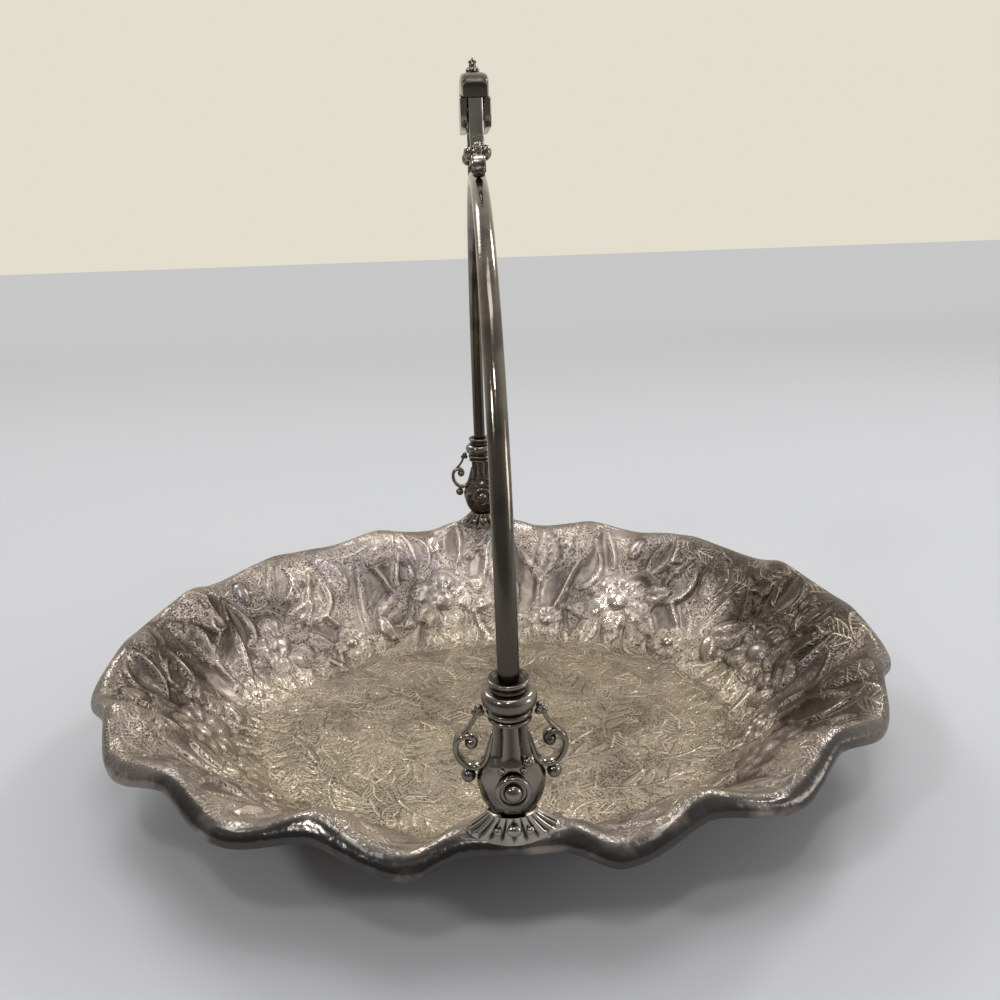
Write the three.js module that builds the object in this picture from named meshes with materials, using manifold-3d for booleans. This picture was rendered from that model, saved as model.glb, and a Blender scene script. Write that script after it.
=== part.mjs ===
// Oval cake basket in silver plate: a ruffled dish chased all over, and an arched handle that
// swings on two small urns standing on the rim.
// Millimetres, +Z up. The dish's length lies along X, the handle's arch in the Y-Z plane.
// The origin is the middle of the flat bottom, on the surface that the basket stands on.
import * as THREE from 'three';
import { mergeVertices } from 'three/addons/utils/BufferGeometryUtils.js';
import Module from 'manifold-3d';

const wasm = await Module();
wasm.setup();

// Dish
const FLOOR_HALF_LENGTH = 94;
const FLOOR_HALF_WIDTH = 68;
const RIM_HALF_LENGTH = 140.5;
const RIM_HALF_WIDTH = 121;
const RIM_HEIGHT = 45.2;
const SHEET = 1;
const WALL_FOOT_REACH = 0.3;
const WALL_CREST_REACH = 0.78;
const LIP_OUT = 5.5;
const LIP_DROP = 4.5;
const LIP_TURN = 102;
const LOBES = 16;
const LOBE_OUT = 4.4;
const LOBE_DROP = 4.8;
const LOBE_START = 0.22;
const LOBE_FULLNESS = 0.8;
const DISH_SIDES = 96;
const WALL_RINGS = 6;
const LIP_RINGS = 3;

// Clearance between pieces that touch or are soldered together
const SEAM = 0.3;

// Fluted feet on the rim
const FOOT_HALF_WIDTH = 12.6;
const FOOT_HALF_DEPTH = 5;
const FOOT_EDGE = 0.9;
const FOOT_NECK_HALF_WIDTH = 6.7;
const FOOT_NECK_HALF_DEPTH = 4.2;
const FOOT_SKIRT_HEIGHT = 5.3;
const FOOT_FLUTES = 12;
const FOOT_FLUTE_DEPTH = 0.1;
const FOOT_SCROLL_RADIUS = 1.2;
const FOOT_SCROLL_LENGTH = 5.4;
const TONGUE_HALF_WIDTH = 3.2;
const TONGUE_HALF_THICKNESS = 1.5;

// Pivots
const PIVOT_HEIGHT = 15.5;
const SWING_LIMIT = 54;
const RIVET_RADIUS = 1.5;
const RIVET_HEAD_RADIUS = 2.8;
const RIVET_HEAD_HEIGHT = 1.9;
const ROSETTE_RADIUS = 5.4;
const ROSETTE_BASE = 0.7;
const ROSETTE_RING = 0.75;
const ROSETTE_RING_RADIUS = 4.6;

// Urns
const URN_HALF_WIDTH = 9.1;
const URN_HALF_DEPTH = 6;
const URN_FACE_HALF_DEPTH = 6.3;
const URN_BOTTOM = 12.2;
const URN_NECK_HALF_WIDTH = 4.8;
const URN_NECK_HALF_DEPTH = 3.9;
const URN_NECK_FLARE = 1.1;
const URN_SHOULDER = 6.4;
const URN_TOP = 18.7;
const URN_NECK_FLUTES = 8;
const URN_NECK_FLUTE_DEPTH = 0.09;
const URN_SIDES = 24;
const SPIGOT_RADIUS = 2.4;
const SPIGOT_LENGTH = 3;

// Collars between the urns and the arch
const COLLAR_LOW_RING_RADIUS = 6;
const COLLAR_LOW_RING_HEIGHT = 1.8;
const COLLAR_WAIST_RADIUS = 4.8;
const COLLAR_WAIST_HEIGHT = 0.4;
const COLLAR_TORUS_RADIUS = 7.2;
const COLLAR_TORUS_HEIGHT = 5;
const COLLAR_TOP_RING_RADIUS = 5.4;
const COLLAR_TOP_RING_HEIGHT = 2.6;
const COLLAR_MOUTH_RADIUS = 3.6;
const COLLAR_MOUTH_HEIGHT = 0.3;
const COLLAR_SIDES = 12;

// Scrolls on both sides of the urns
const SCROLL_HALF_WIDTH = 1.7;
const SCROLL_HALF_THICKNESS = 0.8;
const SCROLL_TIP = 14.7;
const SCROLL_TIP_HEIGHT = 7.6;
const SCROLL_RADIUS = 4.3;
const SCROLL_EYE_RADIUS = 1.95;
const SCROLL_BEAD_RADIUS = 2.2;
const SCROLL_SPUR_RADIUS = 1.45;
const SCROLL_STEPS = 15;

// Arch of the handle
const ARCH_RADIUS = 121.5;
const ARCH_SPRING = 28.7;
const ROD_HALF_WIDTH = 2.8;
const ROD_HALF_THICKNESS = 2.5;
const ROD_SIDES = 10;
const ROD_STEPS = 40;

// Crest on top of the arch
const STRAP_WIDTH = 4.6;
const STRAP_THICKNESS = 2.2;
const STRAP_FOOT_OUT = 28;
const STRAP_HEIGHT = 20.5;
const STRAP_TOP_OUT = 8;
const STRAP_BALL_RADIUS = 1.8;
const EYE_OUT = 21;
const EYE_RISE = 7.2;
const EYE_RADIUS = 2.3;
const EYE_HOLE_RADIUS = 1.2;
const EYE_WIDTH = 8.4;
const EYE_KNUCKLE_WIDTH = 2.8;
const STRAP_FOOT_WIDTH = 3.8;
const STRAP_KNOB_RADIUS = 0.95;
const PLAQUE_HALF_LENGTH = 20;
const PLAQUE_HEIGHT = 8.6;
const PLAQUE_THICKNESS = 2.2;
const PLAQUE_CORNER = 3.5;
const CREST_RISE = 2.4;
const BLOCK_HALF_LENGTH = 11;
const BLOCK_HEIGHT = 2.4;
const CAP_HALF_WIDTH = 4.5;
const CAP_THICKNESS = 6;
const CAP_OVERHANG = 1.2;
const FINIAL_LEAF_RADIUS = 1.1;
const FINIAL_KNOB_RADIUS = 1.2;
const FINIAL_HEIGHT = 4.9;
const FINIAL_FLAT = 0.2;

// Heights that follow from the sizes above
const SEAT_Z = RIM_HEIGHT;
const PIVOT_Z = SEAT_Z + PIVOT_HEIGHT;
const POST_Y = RIM_HALF_WIDTH;
const COLLAR_Z = PIVOT_Z + URN_TOP + SEAM;
const COLLAR_HEIGHT = COLLAR_LOW_RING_HEIGHT + COLLAR_WAIST_HEIGHT + COLLAR_TORUS_HEIGHT
  + COLLAR_WAIST_HEIGHT / 2 + COLLAR_TOP_RING_HEIGHT + COLLAR_MOUTH_HEIGHT;
const BORE_RADIUS = Math.max(ROD_HALF_WIDTH, ROD_HALF_THICKNESS) + SEAM;
const ARCH_Z = PIVOT_Z + ARCH_SPRING;
const ARCH_HALF_SPAN = POST_Y;
const ARCH_TOP_Z = ARCH_Z + ARCH_RADIUS;
const BLOCK_Z = ARCH_TOP_Z + STRAP_HEIGHT;
const PLAQUE_TOP_Z = BLOCK_Z + BLOCK_HEIGHT;
const CAP_Z = PLAQUE_TOP_Z + SEAM;
const FINIAL_Z = CAP_Z + CREST_RISE + CAP_THICKNESS + SEAM;
const TURN = Math.PI / 180;

// Materials
const plate = new THREE.MeshStandardMaterial({ color: 0x8f867b, roughness: 0.36, metalness: 1 });
const cast = new THREE.MeshStandardMaterial({ color: 0x6b635b, roughness: 0.32, metalness: 1 });
const drawn = new THREE.MeshStandardMaterial({ color: 0x776f66, roughness: 0.24, metalness: 1 });

// Solids and surfaces
function solidOf(geometry) {
  const bare = geometry.clone();
  bare.deleteAttribute('normal');
  bare.deleteAttribute('uv');
  const merged = mergeVertices(bare, 1e-4);
  return new wasm.Manifold(new wasm.Mesh({
    numProp: 3,
    vertProperties: new Float32Array(merged.attributes.position.array),
    triVerts: new Uint32Array(merged.index.array),
  }));
}

function geometryOf(solid) {
  const mesh = solid.getMesh();
  const geometry = new THREE.BufferGeometry();
  const points = new Float32Array(mesh.vertProperties);
  geometry.setAttribute('position', new THREE.BufferAttribute(points, 3));
  geometry.setIndex(new THREE.BufferAttribute(new Uint32Array(mesh.triVerts), 1));
  geometry.computeVertexNormals();
  return geometry;
}

function joined(pieces) {
  return pieces.reduce((whole, piece) => whole.add(piece));
}

// What is left of a cut piece once the crumbs beside it are thrown away
function largest(solid) {
  const bodies = solid.decompose();
  return bodies.reduce((one, other) => (other.volume() > one.volume() ? other : one));
}

function closeRing(points, index, start, count, upward) {
  const middle = new THREE.Vector3();
  for (let side = 0; side < count; side += 1) {
    middle.addScaledVector(points[start + side], 1 / count);
  }
  points.push(middle);
  const centre = points.length - 1;
  for (let side = 0; side < count; side += 1) {
    const next = start + (side + 1) % count;
    if (upward) index.push(start + side, next, centre);
    else index.push(next, start + side, centre);
  }
}

// A closed surface through rings of points, each anticlockwise seen from the far end
function loft(rings) {
  const count = rings[0].length;
  const points = rings.flat().map((point) => point.clone());
  const index = [];
  for (let ring = 0; ring < rings.length - 1; ring += 1) {
    const low = ring * count;
    const high = low + count;
    for (let side = 0; side < count; side += 1) {
      const next = (side + 1) % count;
      index.push(low + side, low + next, high + next);
      index.push(low + side, high + next, high + side);
    }
  }
  closeRing(points, index, 0, count, false);
  closeRing(points, index, (rings.length - 1) * count, count, true);
  const geometry = new THREE.BufferGeometry();
  geometry.setFromPoints(points);
  geometry.setIndex(index);
  geometry.computeVertexNormals();
  return geometry;
}

function moved(geometry, x, y, z) {
  geometry.translate(x, y, z);
  return geometry;
}

function ball(radius, x, y, z, around = 8, down = 6) {
  return solidOf(moved(new THREE.SphereGeometry(radius, around, down), x, y, z));
}

function smooth(from, to, value) {
  return THREE.MathUtils.smoothstep(value, from, to);
}

// Points of half an ellipse that bulges outward between two heights of a turned profile
function bulge(low, high, inner, outer, steps) {
  const points = [];
  for (let step = 0; step <= steps; step += 1) {
    const angle = Math.PI * step / steps;
    const radius = inner + (outer - inner) * Math.sin(angle);
    const height = low + (high - low) * (1 - Math.cos(angle)) / 2;
    points.push(new THREE.Vector2(radius, height));
  }
  return points;
}

// A closed outline revolved about the Z axis
function turned(profile, sides) {
  const geometry = new THREE.LatheGeometry([...profile, profile[0]], sides);
  geometry.rotateX(Math.PI / 2);
  return geometry;
}

// Dish
// How far the rim stands between a fold at 0 and the middle of a lobe at 1. The folds at the
// two feet are widened into level seats.
function lobeAt(angle) {
  const wave = Math.pow((1 - Math.cos(LOBES * angle)) / 2, LOBE_FULLNESS);
  const fromFoot = Math.acos(Math.min(1, Math.abs(Math.sin(angle))));
  const seat = Math.asin(FOOT_HALF_WIDTH / RIM_HALF_LENGTH);
  return wave * smooth(seat * 0.75, Math.PI / LOBES, fromFoot);
}

// The section from the floor's edge, by a soft S up the wall, to the lip that rolls over and down
function sectionAt(step) {
  if (step <= WALL_RINGS) {
    const t = step / WALL_RINGS;
    const first = 3 * t * (1 - t) * (1 - t);
    const second = 3 * t * t * (1 - t);
    const third = t * t * t;
    return {
      reach: first * WALL_FOOT_REACH + second * WALL_CREST_REACH + third,
      rise: second + third,
      out: 0,
      drop: 0,
    };
  }
  const angle = LIP_TURN * TURN * (step - WALL_RINGS) / LIP_RINGS;
  return { reach: 1, rise: 1, out: LIP_OUT * Math.sin(angle), drop: LIP_DROP * (1 - Math.cos(angle)) };
}

function dishPoint(step, angle) {
  const { reach, rise, out, drop } = sectionAt(step);
  const length = FLOOR_HALF_LENGTH + (RIM_HALF_LENGTH - FLOOR_HALF_LENGTH) * reach;
  const width = FLOOR_HALF_WIDTH + (RIM_HALF_WIDTH - FLOOR_HALF_WIDTH) * reach;
  const normal = new THREE.Vector2(width * Math.cos(angle), length * Math.sin(angle)).normalize();
  const lobe = lobeAt(angle) * smooth(LOBE_START, 1, reach);
  const push = out + LOBE_OUT * lobe;
  return new THREE.Vector3(
    length * Math.cos(angle) + push * normal.x,
    width * Math.sin(angle) + push * normal.y,
    SHEET + (RIM_HEIGHT - SHEET) * rise - drop - LOBE_DROP * lobe,
  );
}

function dishNormal(step, angle) {
  if (step === 0) return new THREE.Vector3(0, 0, 1);
  const last = WALL_RINGS + LIP_RINGS;
  const along = dishPoint(Math.min(step + 0.02, last), angle).sub(dishPoint(step - 0.02, angle));
  const around = dishPoint(step, angle + 0.002).sub(dishPoint(step, angle - 0.002));
  return along.cross(around).normalize();
}

function dishRing(step, depth) {
  const ring = [];
  for (let side = 0; side < DISH_SIDES; side += 1) {
    const angle = 2 * Math.PI * side / DISH_SIDES;
    ring.push(dishPoint(step, angle).addScaledVector(dishNormal(step, angle), -depth));
  }
  return ring;
}

function dish() {
  const last = WALL_RINGS + LIP_RINGS;
  const rings = [];
  for (let step = 0; step <= last; step += 1) rings.push(dishRing(step, SHEET));
  for (let step = last; step >= 0; step -= 1) rings.push(dishRing(step, 0));
  return loft(rings);
}

// The space that the rim takes up under a foot, a seam's width above the metal
function rimUnderFoot() {
  const from = -Math.PI / 2 - 1.6 * Math.asin(FOOT_HALF_WIDTH / RIM_HALF_LENGTH);
  const to = -Math.PI - from;
  const rings = [];
  const last = WALL_RINGS + LIP_RINGS;
  for (let column = 0; column <= 10; column += 1) {
    const angle = from + (to - from) * column / 10;
    const top = [];
    for (let step = WALL_RINGS - 3; step <= last; step += 1) {
      top.push(dishPoint(step, angle).addScaledVector(dishNormal(step, angle), SEAM));
    }
    const outer = top[top.length - 1];
    const inner = top[0];
    const bottom = new THREE.Vector3(outer.x, outer.y, SEAT_Z / 2);
    const back = new THREE.Vector3(inner.x, inner.y, SEAT_Z / 2);
    rings.push([...top, bottom, back]);
  }
  return solidOf(loft(rings));
}

// Feet
function footRing(height, halfWidth, halfDepth, flute) {
  const sides = FOOT_FLUTES * 3;
  const ring = [];
  for (let side = 0; side < sides; side += 1) {
    const angle = 2 * Math.PI * side / sides;
    const fan = 1 - flute * (1 + Math.cos(FOOT_FLUTES * angle)) / 2;
    ring.push(new THREE.Vector3(halfWidth * fan * Math.cos(angle), halfDepth * fan * Math.sin(angle), height));
  }
  return ring;
}

function footSkirt() {
  const rings = [footRing(-6, FOOT_HALF_WIDTH, FOOT_HALF_DEPTH, 0)];
  rings.push(footRing(FOOT_EDGE * 0.4, FOOT_HALF_WIDTH, FOOT_HALF_DEPTH, 0.03));
  const steps = 4;
  for (let step = 0; step <= steps; step += 1) {
    const t = step / steps;
    const spread = Math.pow(1 - t, 1.35);
    rings.push(footRing(
      FOOT_EDGE + (FOOT_SKIRT_HEIGHT - FOOT_EDGE) * t,
      FOOT_NECK_HALF_WIDTH + (FOOT_HALF_WIDTH - FOOT_NECK_HALF_WIDTH) * spread,
      FOOT_NECK_HALF_DEPTH + (FOOT_HALF_DEPTH - FOOT_NECK_HALF_DEPTH) * spread,
      FOOT_FLUTE_DEPTH * (1 - t * 0.6),
    ));
  }
  return solidOf(loft(rings));
}

// The round cup in the top of the skirt that the urn's bottom swings in
function footSaddle() {
  const hollow = new THREE.SphereGeometry(URN_BOTTOM + SEAM, 32, 16);
  hollow.scale(1, (URN_HALF_DEPTH + SEAM) / (URN_BOTTOM + SEAM), 1);
  return solidOf(moved(hollow, 0, 0, PIVOT_HEIGHT));
}

// The flat tongue that the pivot passes through, round at the top
function footTongue() {
  const outline = new THREE.Shape();
  outline.moveTo(-TONGUE_HALF_WIDTH, FOOT_EDGE);
  outline.lineTo(TONGUE_HALF_WIDTH, FOOT_EDGE);
  outline.lineTo(TONGUE_HALF_WIDTH, PIVOT_HEIGHT);
  outline.absarc(0, PIVOT_HEIGHT, TONGUE_HALF_WIDTH, 0, Math.PI, false);
  outline.closePath();
  const hole = new THREE.Path();
  hole.absarc(0, PIVOT_HEIGHT, RIVET_RADIUS + SEAM, 0, 2 * Math.PI, true);
  outline.holes.push(hole);
  const depth = 2 * TONGUE_HALF_THICKNESS;
  const plateOfMetal = new THREE.ExtrudeGeometry(outline, { depth, bevelEnabled: false, curveSegments: 8 });
  plateOfMetal.translate(0, 0, -TONGUE_HALF_THICKNESS);
  plateOfMetal.rotateX(Math.PI / 2);
  return solidOf(plateOfMetal);
}

// The small rolled scroll on the middle of each long side of the skirt
function footScroll(side) {
  const roll = new THREE.CylinderGeometry(FOOT_SCROLL_RADIUS, FOOT_SCROLL_RADIUS, FOOT_SCROLL_LENGTH, 8);
  roll.rotateZ(Math.PI / 2);
  const y = side * (FOOT_HALF_DEPTH - FOOT_SCROLL_RADIUS * 0.7);
  return solidOf(moved(roll, 0, y, FOOT_SCROLL_RADIUS * 0.9));
}

function foot() {
  const skirt = joined([footSkirt(), footScroll(-1), footScroll(1)]).subtract(footSaddle());
  const raw = skirt.add(footTongue());
  const placed = solidOf(moved(geometryOf(raw), 0, -POST_Y, SEAT_Z));
  const seated = placed.subtract(rimUnderFoot());
  return moved(geometryOf(largest(seated)), 0, POST_Y, -SEAT_Z);
}

// Urns, with the pivot at their origin
function urnWidth(height, bulb, neck) {
  if (height <= 0) return bulb * Math.sqrt(Math.max(0, 1 - (height / URN_BOTTOM) ** 2));
  const flared = neck + URN_NECK_FLARE * (1 - smooth(URN_SHOULDER * 0.8, URN_TOP * 0.75, height));
  if (height >= URN_SHOULDER) return flared;
  return flared + (bulb - flared) * Math.sqrt(1 - (height / URN_SHOULDER) ** 2);
}

function urnRing(height, grown) {
  const halfWidth = urnWidth(height, URN_HALF_WIDTH, URN_NECK_HALF_WIDTH) + grown;
  const halfDepth = urnWidth(height, URN_HALF_DEPTH, URN_NECK_HALF_DEPTH) + grown;
  const fluting = URN_NECK_FLUTE_DEPTH * smooth(URN_SHOULDER * 0.8, URN_SHOULDER * 1.1, height);
  const ring = [];
  for (let side = 0; side < URN_SIDES; side += 1) {
    const angle = 2 * Math.PI * side / URN_SIDES;
    const fan = 1 - fluting * (1 + Math.cos(URN_NECK_FLUTES * angle)) / 2;
    ring.push(new THREE.Vector3(halfWidth * fan * Math.cos(angle), halfDepth * fan * Math.sin(angle), height));
  }
  return ring;
}

function urnBody(grown = 0) {
  const rings = [];
  for (let step = 0; step < 5; step += 1) {
    rings.push(urnRing(-URN_BOTTOM * Math.cos(TURN * (10 + 80 * step / 5)), grown));
  }
  for (let step = 0; step <= 4; step += 1) {
    rings.push(urnRing(URN_SHOULDER * Math.sin(TURN * 90 * step / 4), grown));
  }
  rings.push(urnRing(URN_SHOULDER * 1.15, grown));
  rings.push(urnRing(URN_SHOULDER * 1.5, grown));
  rings.push(urnRing(URN_TOP * 0.75, grown));
  rings.push(urnRing(URN_TOP, grown));
  return solidOf(loft(rings));
}

function along(axis, geometry) {
  if (axis === 'y') return geometry;
  if (axis === 'x') return geometry.rotateZ(-Math.PI / 2);
  return geometry.rotateX(Math.PI / 2);
}

function rod(axis, radius, length, sides) {
  return solidOf(along(axis, new THREE.CylinderGeometry(radius, radius, length, sides)));
}

// The slot that lets the urn swing over the tongue, open over the whole swing
function urnSlot() {
  const clear = TONGUE_HALF_WIDTH + SEAM * 2;
  const reach = URN_BOTTOM + URN_HALF_WIDTH;
  const limit = SWING_LIMIT * TURN;
  const across = new THREE.Vector2(Math.sin(limit), -Math.cos(limit));
  const upward = new THREE.Vector2(Math.cos(limit), Math.sin(limit));
  const outline = new THREE.Shape();
  outline.moveTo(-reach, -reach);
  outline.lineTo(reach, -reach);
  outline.lineTo(upward.x * clear + across.x * reach, upward.y * clear + across.y * reach);
  outline.absarc(0, 0, clear, limit, Math.PI - limit, false);
  outline.lineTo(-upward.x * clear - across.x * reach, upward.y * clear + across.y * reach);
  outline.closePath();
  const depth = 2 * (TONGUE_HALF_THICKNESS + SEAM);
  const slot = new THREE.ExtrudeGeometry(outline, { depth, bevelEnabled: false, curveSegments: 6 });
  slot.translate(0, 0, -depth / 2);
  slot.rotateX(Math.PI / 2);
  return solidOf(slot);
}

function urn() {
  const face = rod('y', ROSETTE_RADIUS + 0.1, 2 * URN_FACE_HALF_DEPTH, 16);
  const spigot = new THREE.CylinderGeometry(SPIGOT_RADIUS, SPIGOT_RADIUS, SPIGOT_LENGTH + 1, 10);
  spigot.rotateX(Math.PI / 2);
  spigot.translate(0, 0, URN_TOP + (SPIGOT_LENGTH - 1) / 2);
  const hole = rod('y', RIVET_RADIUS + SEAM, 4 * URN_FACE_HALF_DEPTH, 12);
  const whole = joined([urnBody(), face, solidOf(spigot)]);
  return geometryOf(whole.subtract(urnSlot()).subtract(hole));
}

// The ringed washer on each face of an urn, facing -Y
function rosette() {
  const hole = RIVET_RADIUS + SEAM;
  const inner = 2 * ROSETTE_RING_RADIUS - ROSETTE_RADIUS;
  const profile = [
    new THREE.Vector2(hole, 0),
    new THREE.Vector2(ROSETTE_RADIUS, 0),
    ...bulgeAcross(ROSETTE_RADIUS, inner, ROSETTE_BASE, ROSETTE_BASE + ROSETTE_RING, 3),
    new THREE.Vector2(hole, ROSETTE_BASE),
  ];
  const geometry = new THREE.LatheGeometry([...profile, profile[0]], 16);
  geometry.rotateX(Math.PI);
  return geometry;
}

// Points of a rounded rib between two radii of a turned face
function bulgeAcross(from, to, low, high, steps) {
  const points = [];
  for (let step = 0; step <= steps; step += 1) {
    const angle = Math.PI * step / steps;
    const radius = from + (to - from) * (1 - Math.cos(angle)) / 2;
    points.push(new THREE.Vector2(radius, low + (high - low) * Math.sin(angle)));
  }
  return points;
}

// The pivot with a domed head at both ends, along Y
function rivet() {
  const shoulder = URN_FACE_HALF_DEPTH + ROSETTE_BASE + 2 * SEAM;
  const profile = [];
  for (let step = 0; step <= 3; step += 1) {
    const angle = Math.PI / 2 * step / 3;
    const height = shoulder + RIVET_HEAD_HEIGHT * Math.cos(angle);
    profile.push(new THREE.Vector2(RIVET_HEAD_RADIUS * Math.sin(angle), -height));
  }
  profile.push(new THREE.Vector2(RIVET_RADIUS, -shoulder));
  const mirrored = profile.map((point) => new THREE.Vector2(point.x, -point.y)).reverse();
  return new THREE.LatheGeometry([...profile, ...mirrored], 12);
}

// Collars, with their foot at the origin
function collar() {
  const lowTop = COLLAR_LOW_RING_HEIGHT;
  const torusLow = lowTop + COLLAR_WAIST_HEIGHT;
  const torusTop = torusLow + COLLAR_TORUS_HEIGHT;
  const topLow = torusTop + COLLAR_WAIST_HEIGHT / 2;
  const topHigh = topLow + COLLAR_TOP_RING_HEIGHT;
  const profile = [
    new THREE.Vector2(BORE_RADIUS, 0),
    ...bulge(0, lowTop, COLLAR_WAIST_RADIUS, COLLAR_LOW_RING_RADIUS, 3),
    ...bulge(torusLow, torusTop, COLLAR_WAIST_RADIUS, COLLAR_TORUS_RADIUS, 5),
    ...bulge(topLow, topHigh, COLLAR_WAIST_RADIUS, COLLAR_TOP_RING_RADIUS, 3),
    new THREE.Vector2(COLLAR_MOUTH_RADIUS, topHigh + COLLAR_MOUTH_HEIGHT * 0.4),
    new THREE.Vector2(COLLAR_MOUTH_RADIUS, COLLAR_HEIGHT),
    new THREE.Vector2(BORE_RADIUS, COLLAR_HEIGHT),
  ];
  return turned(profile, COLLAR_SIDES);
}

// A tube of round section along a curve
function tube(curve, halfWidth, halfThickness, steps, sides) {
  const section = new THREE.Shape();
  section.absellipse(0, 0, halfWidth, halfThickness, 0, 2 * Math.PI, false, 0);
  return new THREE.ExtrudeGeometry(section, { extrudePath: curve, steps, curveSegments: sides / 2 });
}

// Side scrolls, in the X-Z plane with the pivot at their origin
const SCROLL_CENTRE_X = SCROLL_TIP - SCROLL_HALF_THICKNESS - SCROLL_RADIUS;

// The C of the scroll starts at its eye, goes over the top and outside and runs up the neck.
function scrollCurve() {
  const points = [];
  for (let step = 0; step <= 9; step += 1) {
    const t = step / 9;
    const angle = TURN * (80 - 178 * t);
    const radius = SCROLL_RADIUS * (0.62 + 0.38 * smooth(0, 0.3, t));
    points.push(new THREE.Vector3(
      SCROLL_CENTRE_X + radius * Math.cos(angle),
      0,
      SCROLL_TIP_HEIGHT + radius * Math.sin(angle),
    ));
  }
  for (const share of [0.98, 1.25, 1.6, 1.9]) {
    const height = URN_SHOULDER * share;
    const wall = urnWidth(height, URN_HALF_WIDTH, URN_NECK_HALF_WIDTH);
    points.push(new THREE.Vector3(wall + SCROLL_HALF_THICKNESS + SEAM, 0, height));
  }
  return new THREE.CatmullRomCurve3(points, false, 'centripetal');
}

// The stem runs from a small spur beside the collar to the top of the C
function scrollStem(spur) {
  const foot = scrollCurve().getPoint(0.17);
  const middle = new THREE.Vector3().lerpVectors(spur, foot, 0.5);
  middle.x -= SCROLL_HALF_THICKNESS;
  return new THREE.CatmullRomCurve3([spur, middle, foot]);
}

function sideScroll() {
  const curve = scrollCurve();
  const eye = curve.getPoint(0);
  const spurX = COLLAR_LOW_RING_RADIUS + SEAM + SCROLL_SPUR_RADIUS * 1.25;
  const spur = new THREE.Vector3(spurX, 0, URN_TOP + SEAM + COLLAR_LOW_RING_HEIGHT);
  const beadX = URN_HALF_WIDTH + SEAM + SCROLL_BEAD_RADIUS * 0.85;
  const beadZ = SCROLL_TIP_HEIGHT - SCROLL_RADIUS - SCROLL_HALF_THICKNESS - SCROLL_BEAD_RADIUS * 0.7;
  const whole = joined([
    solidOf(tube(curve, SCROLL_HALF_WIDTH, SCROLL_HALF_THICKNESS, SCROLL_STEPS, 6)),
    solidOf(tube(scrollStem(spur), SCROLL_HALF_THICKNESS, SCROLL_HALF_THICKNESS, 3, 6)),
    ball(SCROLL_EYE_RADIUS, eye.x, 0, eye.z, 8, 5),
    ball(SCROLL_SPUR_RADIUS, spur.x, 0, spur.z, 6, 4),
    ball(SCROLL_BEAD_RADIUS, beadX, 0, beadZ, 8, 5),
  ]);
  return largest(whole.subtract(urnBody(SEAM)));
}

// Arch, with its ends inside the collars
class ArchCurve extends THREE.Curve {
  getPoint(t, target = new THREE.Vector3()) {
    const stand = ARCH_Z - (COLLAR_Z + SPIGOT_LENGTH + SEAM * 2);
    const bend = Math.PI * ARCH_RADIUS;
    const along = t * (bend + 2 * stand);
    if (along < stand) return target.set(0, -ARCH_HALF_SPAN, ARCH_Z - stand + along);
    if (along > stand + bend) return target.set(0, ARCH_HALF_SPAN, ARCH_Z - (along - stand - bend));
    const angle = (along - stand) / ARCH_RADIUS;
    return target.set(0, -ARCH_HALF_SPAN * Math.cos(angle), ARCH_Z + ARCH_RADIUS * Math.sin(angle));
  }
}

function arch() {
  return tube(new ArchCurve(), ROD_HALF_WIDTH, ROD_HALF_THICKNESS, ROD_STEPS, ROD_SIDES);
}

function archHeightAt(y) {
  return ARCH_Z + ARCH_RADIUS * Math.sqrt(1 - (y / ARCH_HALF_SPAN) ** 2);
}

// Crest
// One strap stands on the arch by a ball and sweeps up to the block between the plaques.
function strapFoot() {
  const z = archHeightAt(STRAP_FOOT_OUT) + ROD_HALF_THICKNESS + STRAP_BALL_RADIUS + 2 * SEAM;
  return new THREE.Vector3(0, -STRAP_FOOT_OUT, z);
}

function strap() {
  const start = strapFoot();
  const eyeZ = start.z + EYE_RISE - 2;
  const end = new THREE.Vector3(0, -STRAP_TOP_OUT, BLOCK_Z - SEAM);
  const curve = new THREE.CatmullRomCurve3([
    start,
    new THREE.Vector3(0, start.y + 1.6, start.z + 3.6),
    new THREE.Vector3(0, -EYE_OUT, eyeZ),
    new THREE.Vector3(0, (-EYE_OUT - STRAP_TOP_OUT) / 2 - 1, (eyeZ + end.z) / 2 - 1.5),
    new THREE.Vector3(0, end.y, end.z - 4),
    end,
  ]);
  const section = new THREE.Shape();
  const halfWidth = STRAP_WIDTH / 2;
  const halfThickness = STRAP_THICKNESS / 2;
  section.moveTo(-halfWidth, -halfThickness);
  section.lineTo(halfWidth, -halfThickness);
  section.lineTo(halfWidth, halfThickness);
  section.lineTo(-halfWidth, halfThickness);
  section.closePath();
  const band = solidOf(new THREE.ExtrudeGeometry(section, { extrudePath: curve, steps: 16 }));
  const eyeAt = new THREE.Vector3(0, -EYE_OUT, eyeZ);
  const foot = rod('x', STRAP_BALL_RADIUS, STRAP_FOOT_WIDTH, 12);
  const eye = rod('x', EYE_RADIUS, EYE_KNUCKLE_WIDTH, 12);
  const knobAt = curve.getPoint(0.5);
  const slope = curve.getTangent(0.5);
  knobAt.add(new THREE.Vector3(0, -slope.z, slope.y).multiplyScalar(STRAP_THICKNESS / 2));
  const knob = ball(STRAP_KNOB_RADIUS, 0, knobAt.y, knobAt.z, 8, 6);
  const notched = band.subtract(shifted(eyeNotch(1), eyeAt)).subtract(shifted(eyeNotch(-1), eyeAt));
  const whole = joined([notched, shifted(foot, start), shifted(eye, eyeAt), knob]);
  const hole = shifted(rod('x', EYE_HOLE_RADIUS + SEAM, STRAP_WIDTH * 2, 10), eyeAt);
  return geometryOf(whole.subtract(hole).subtract(aboveBlock()));
}

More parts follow.
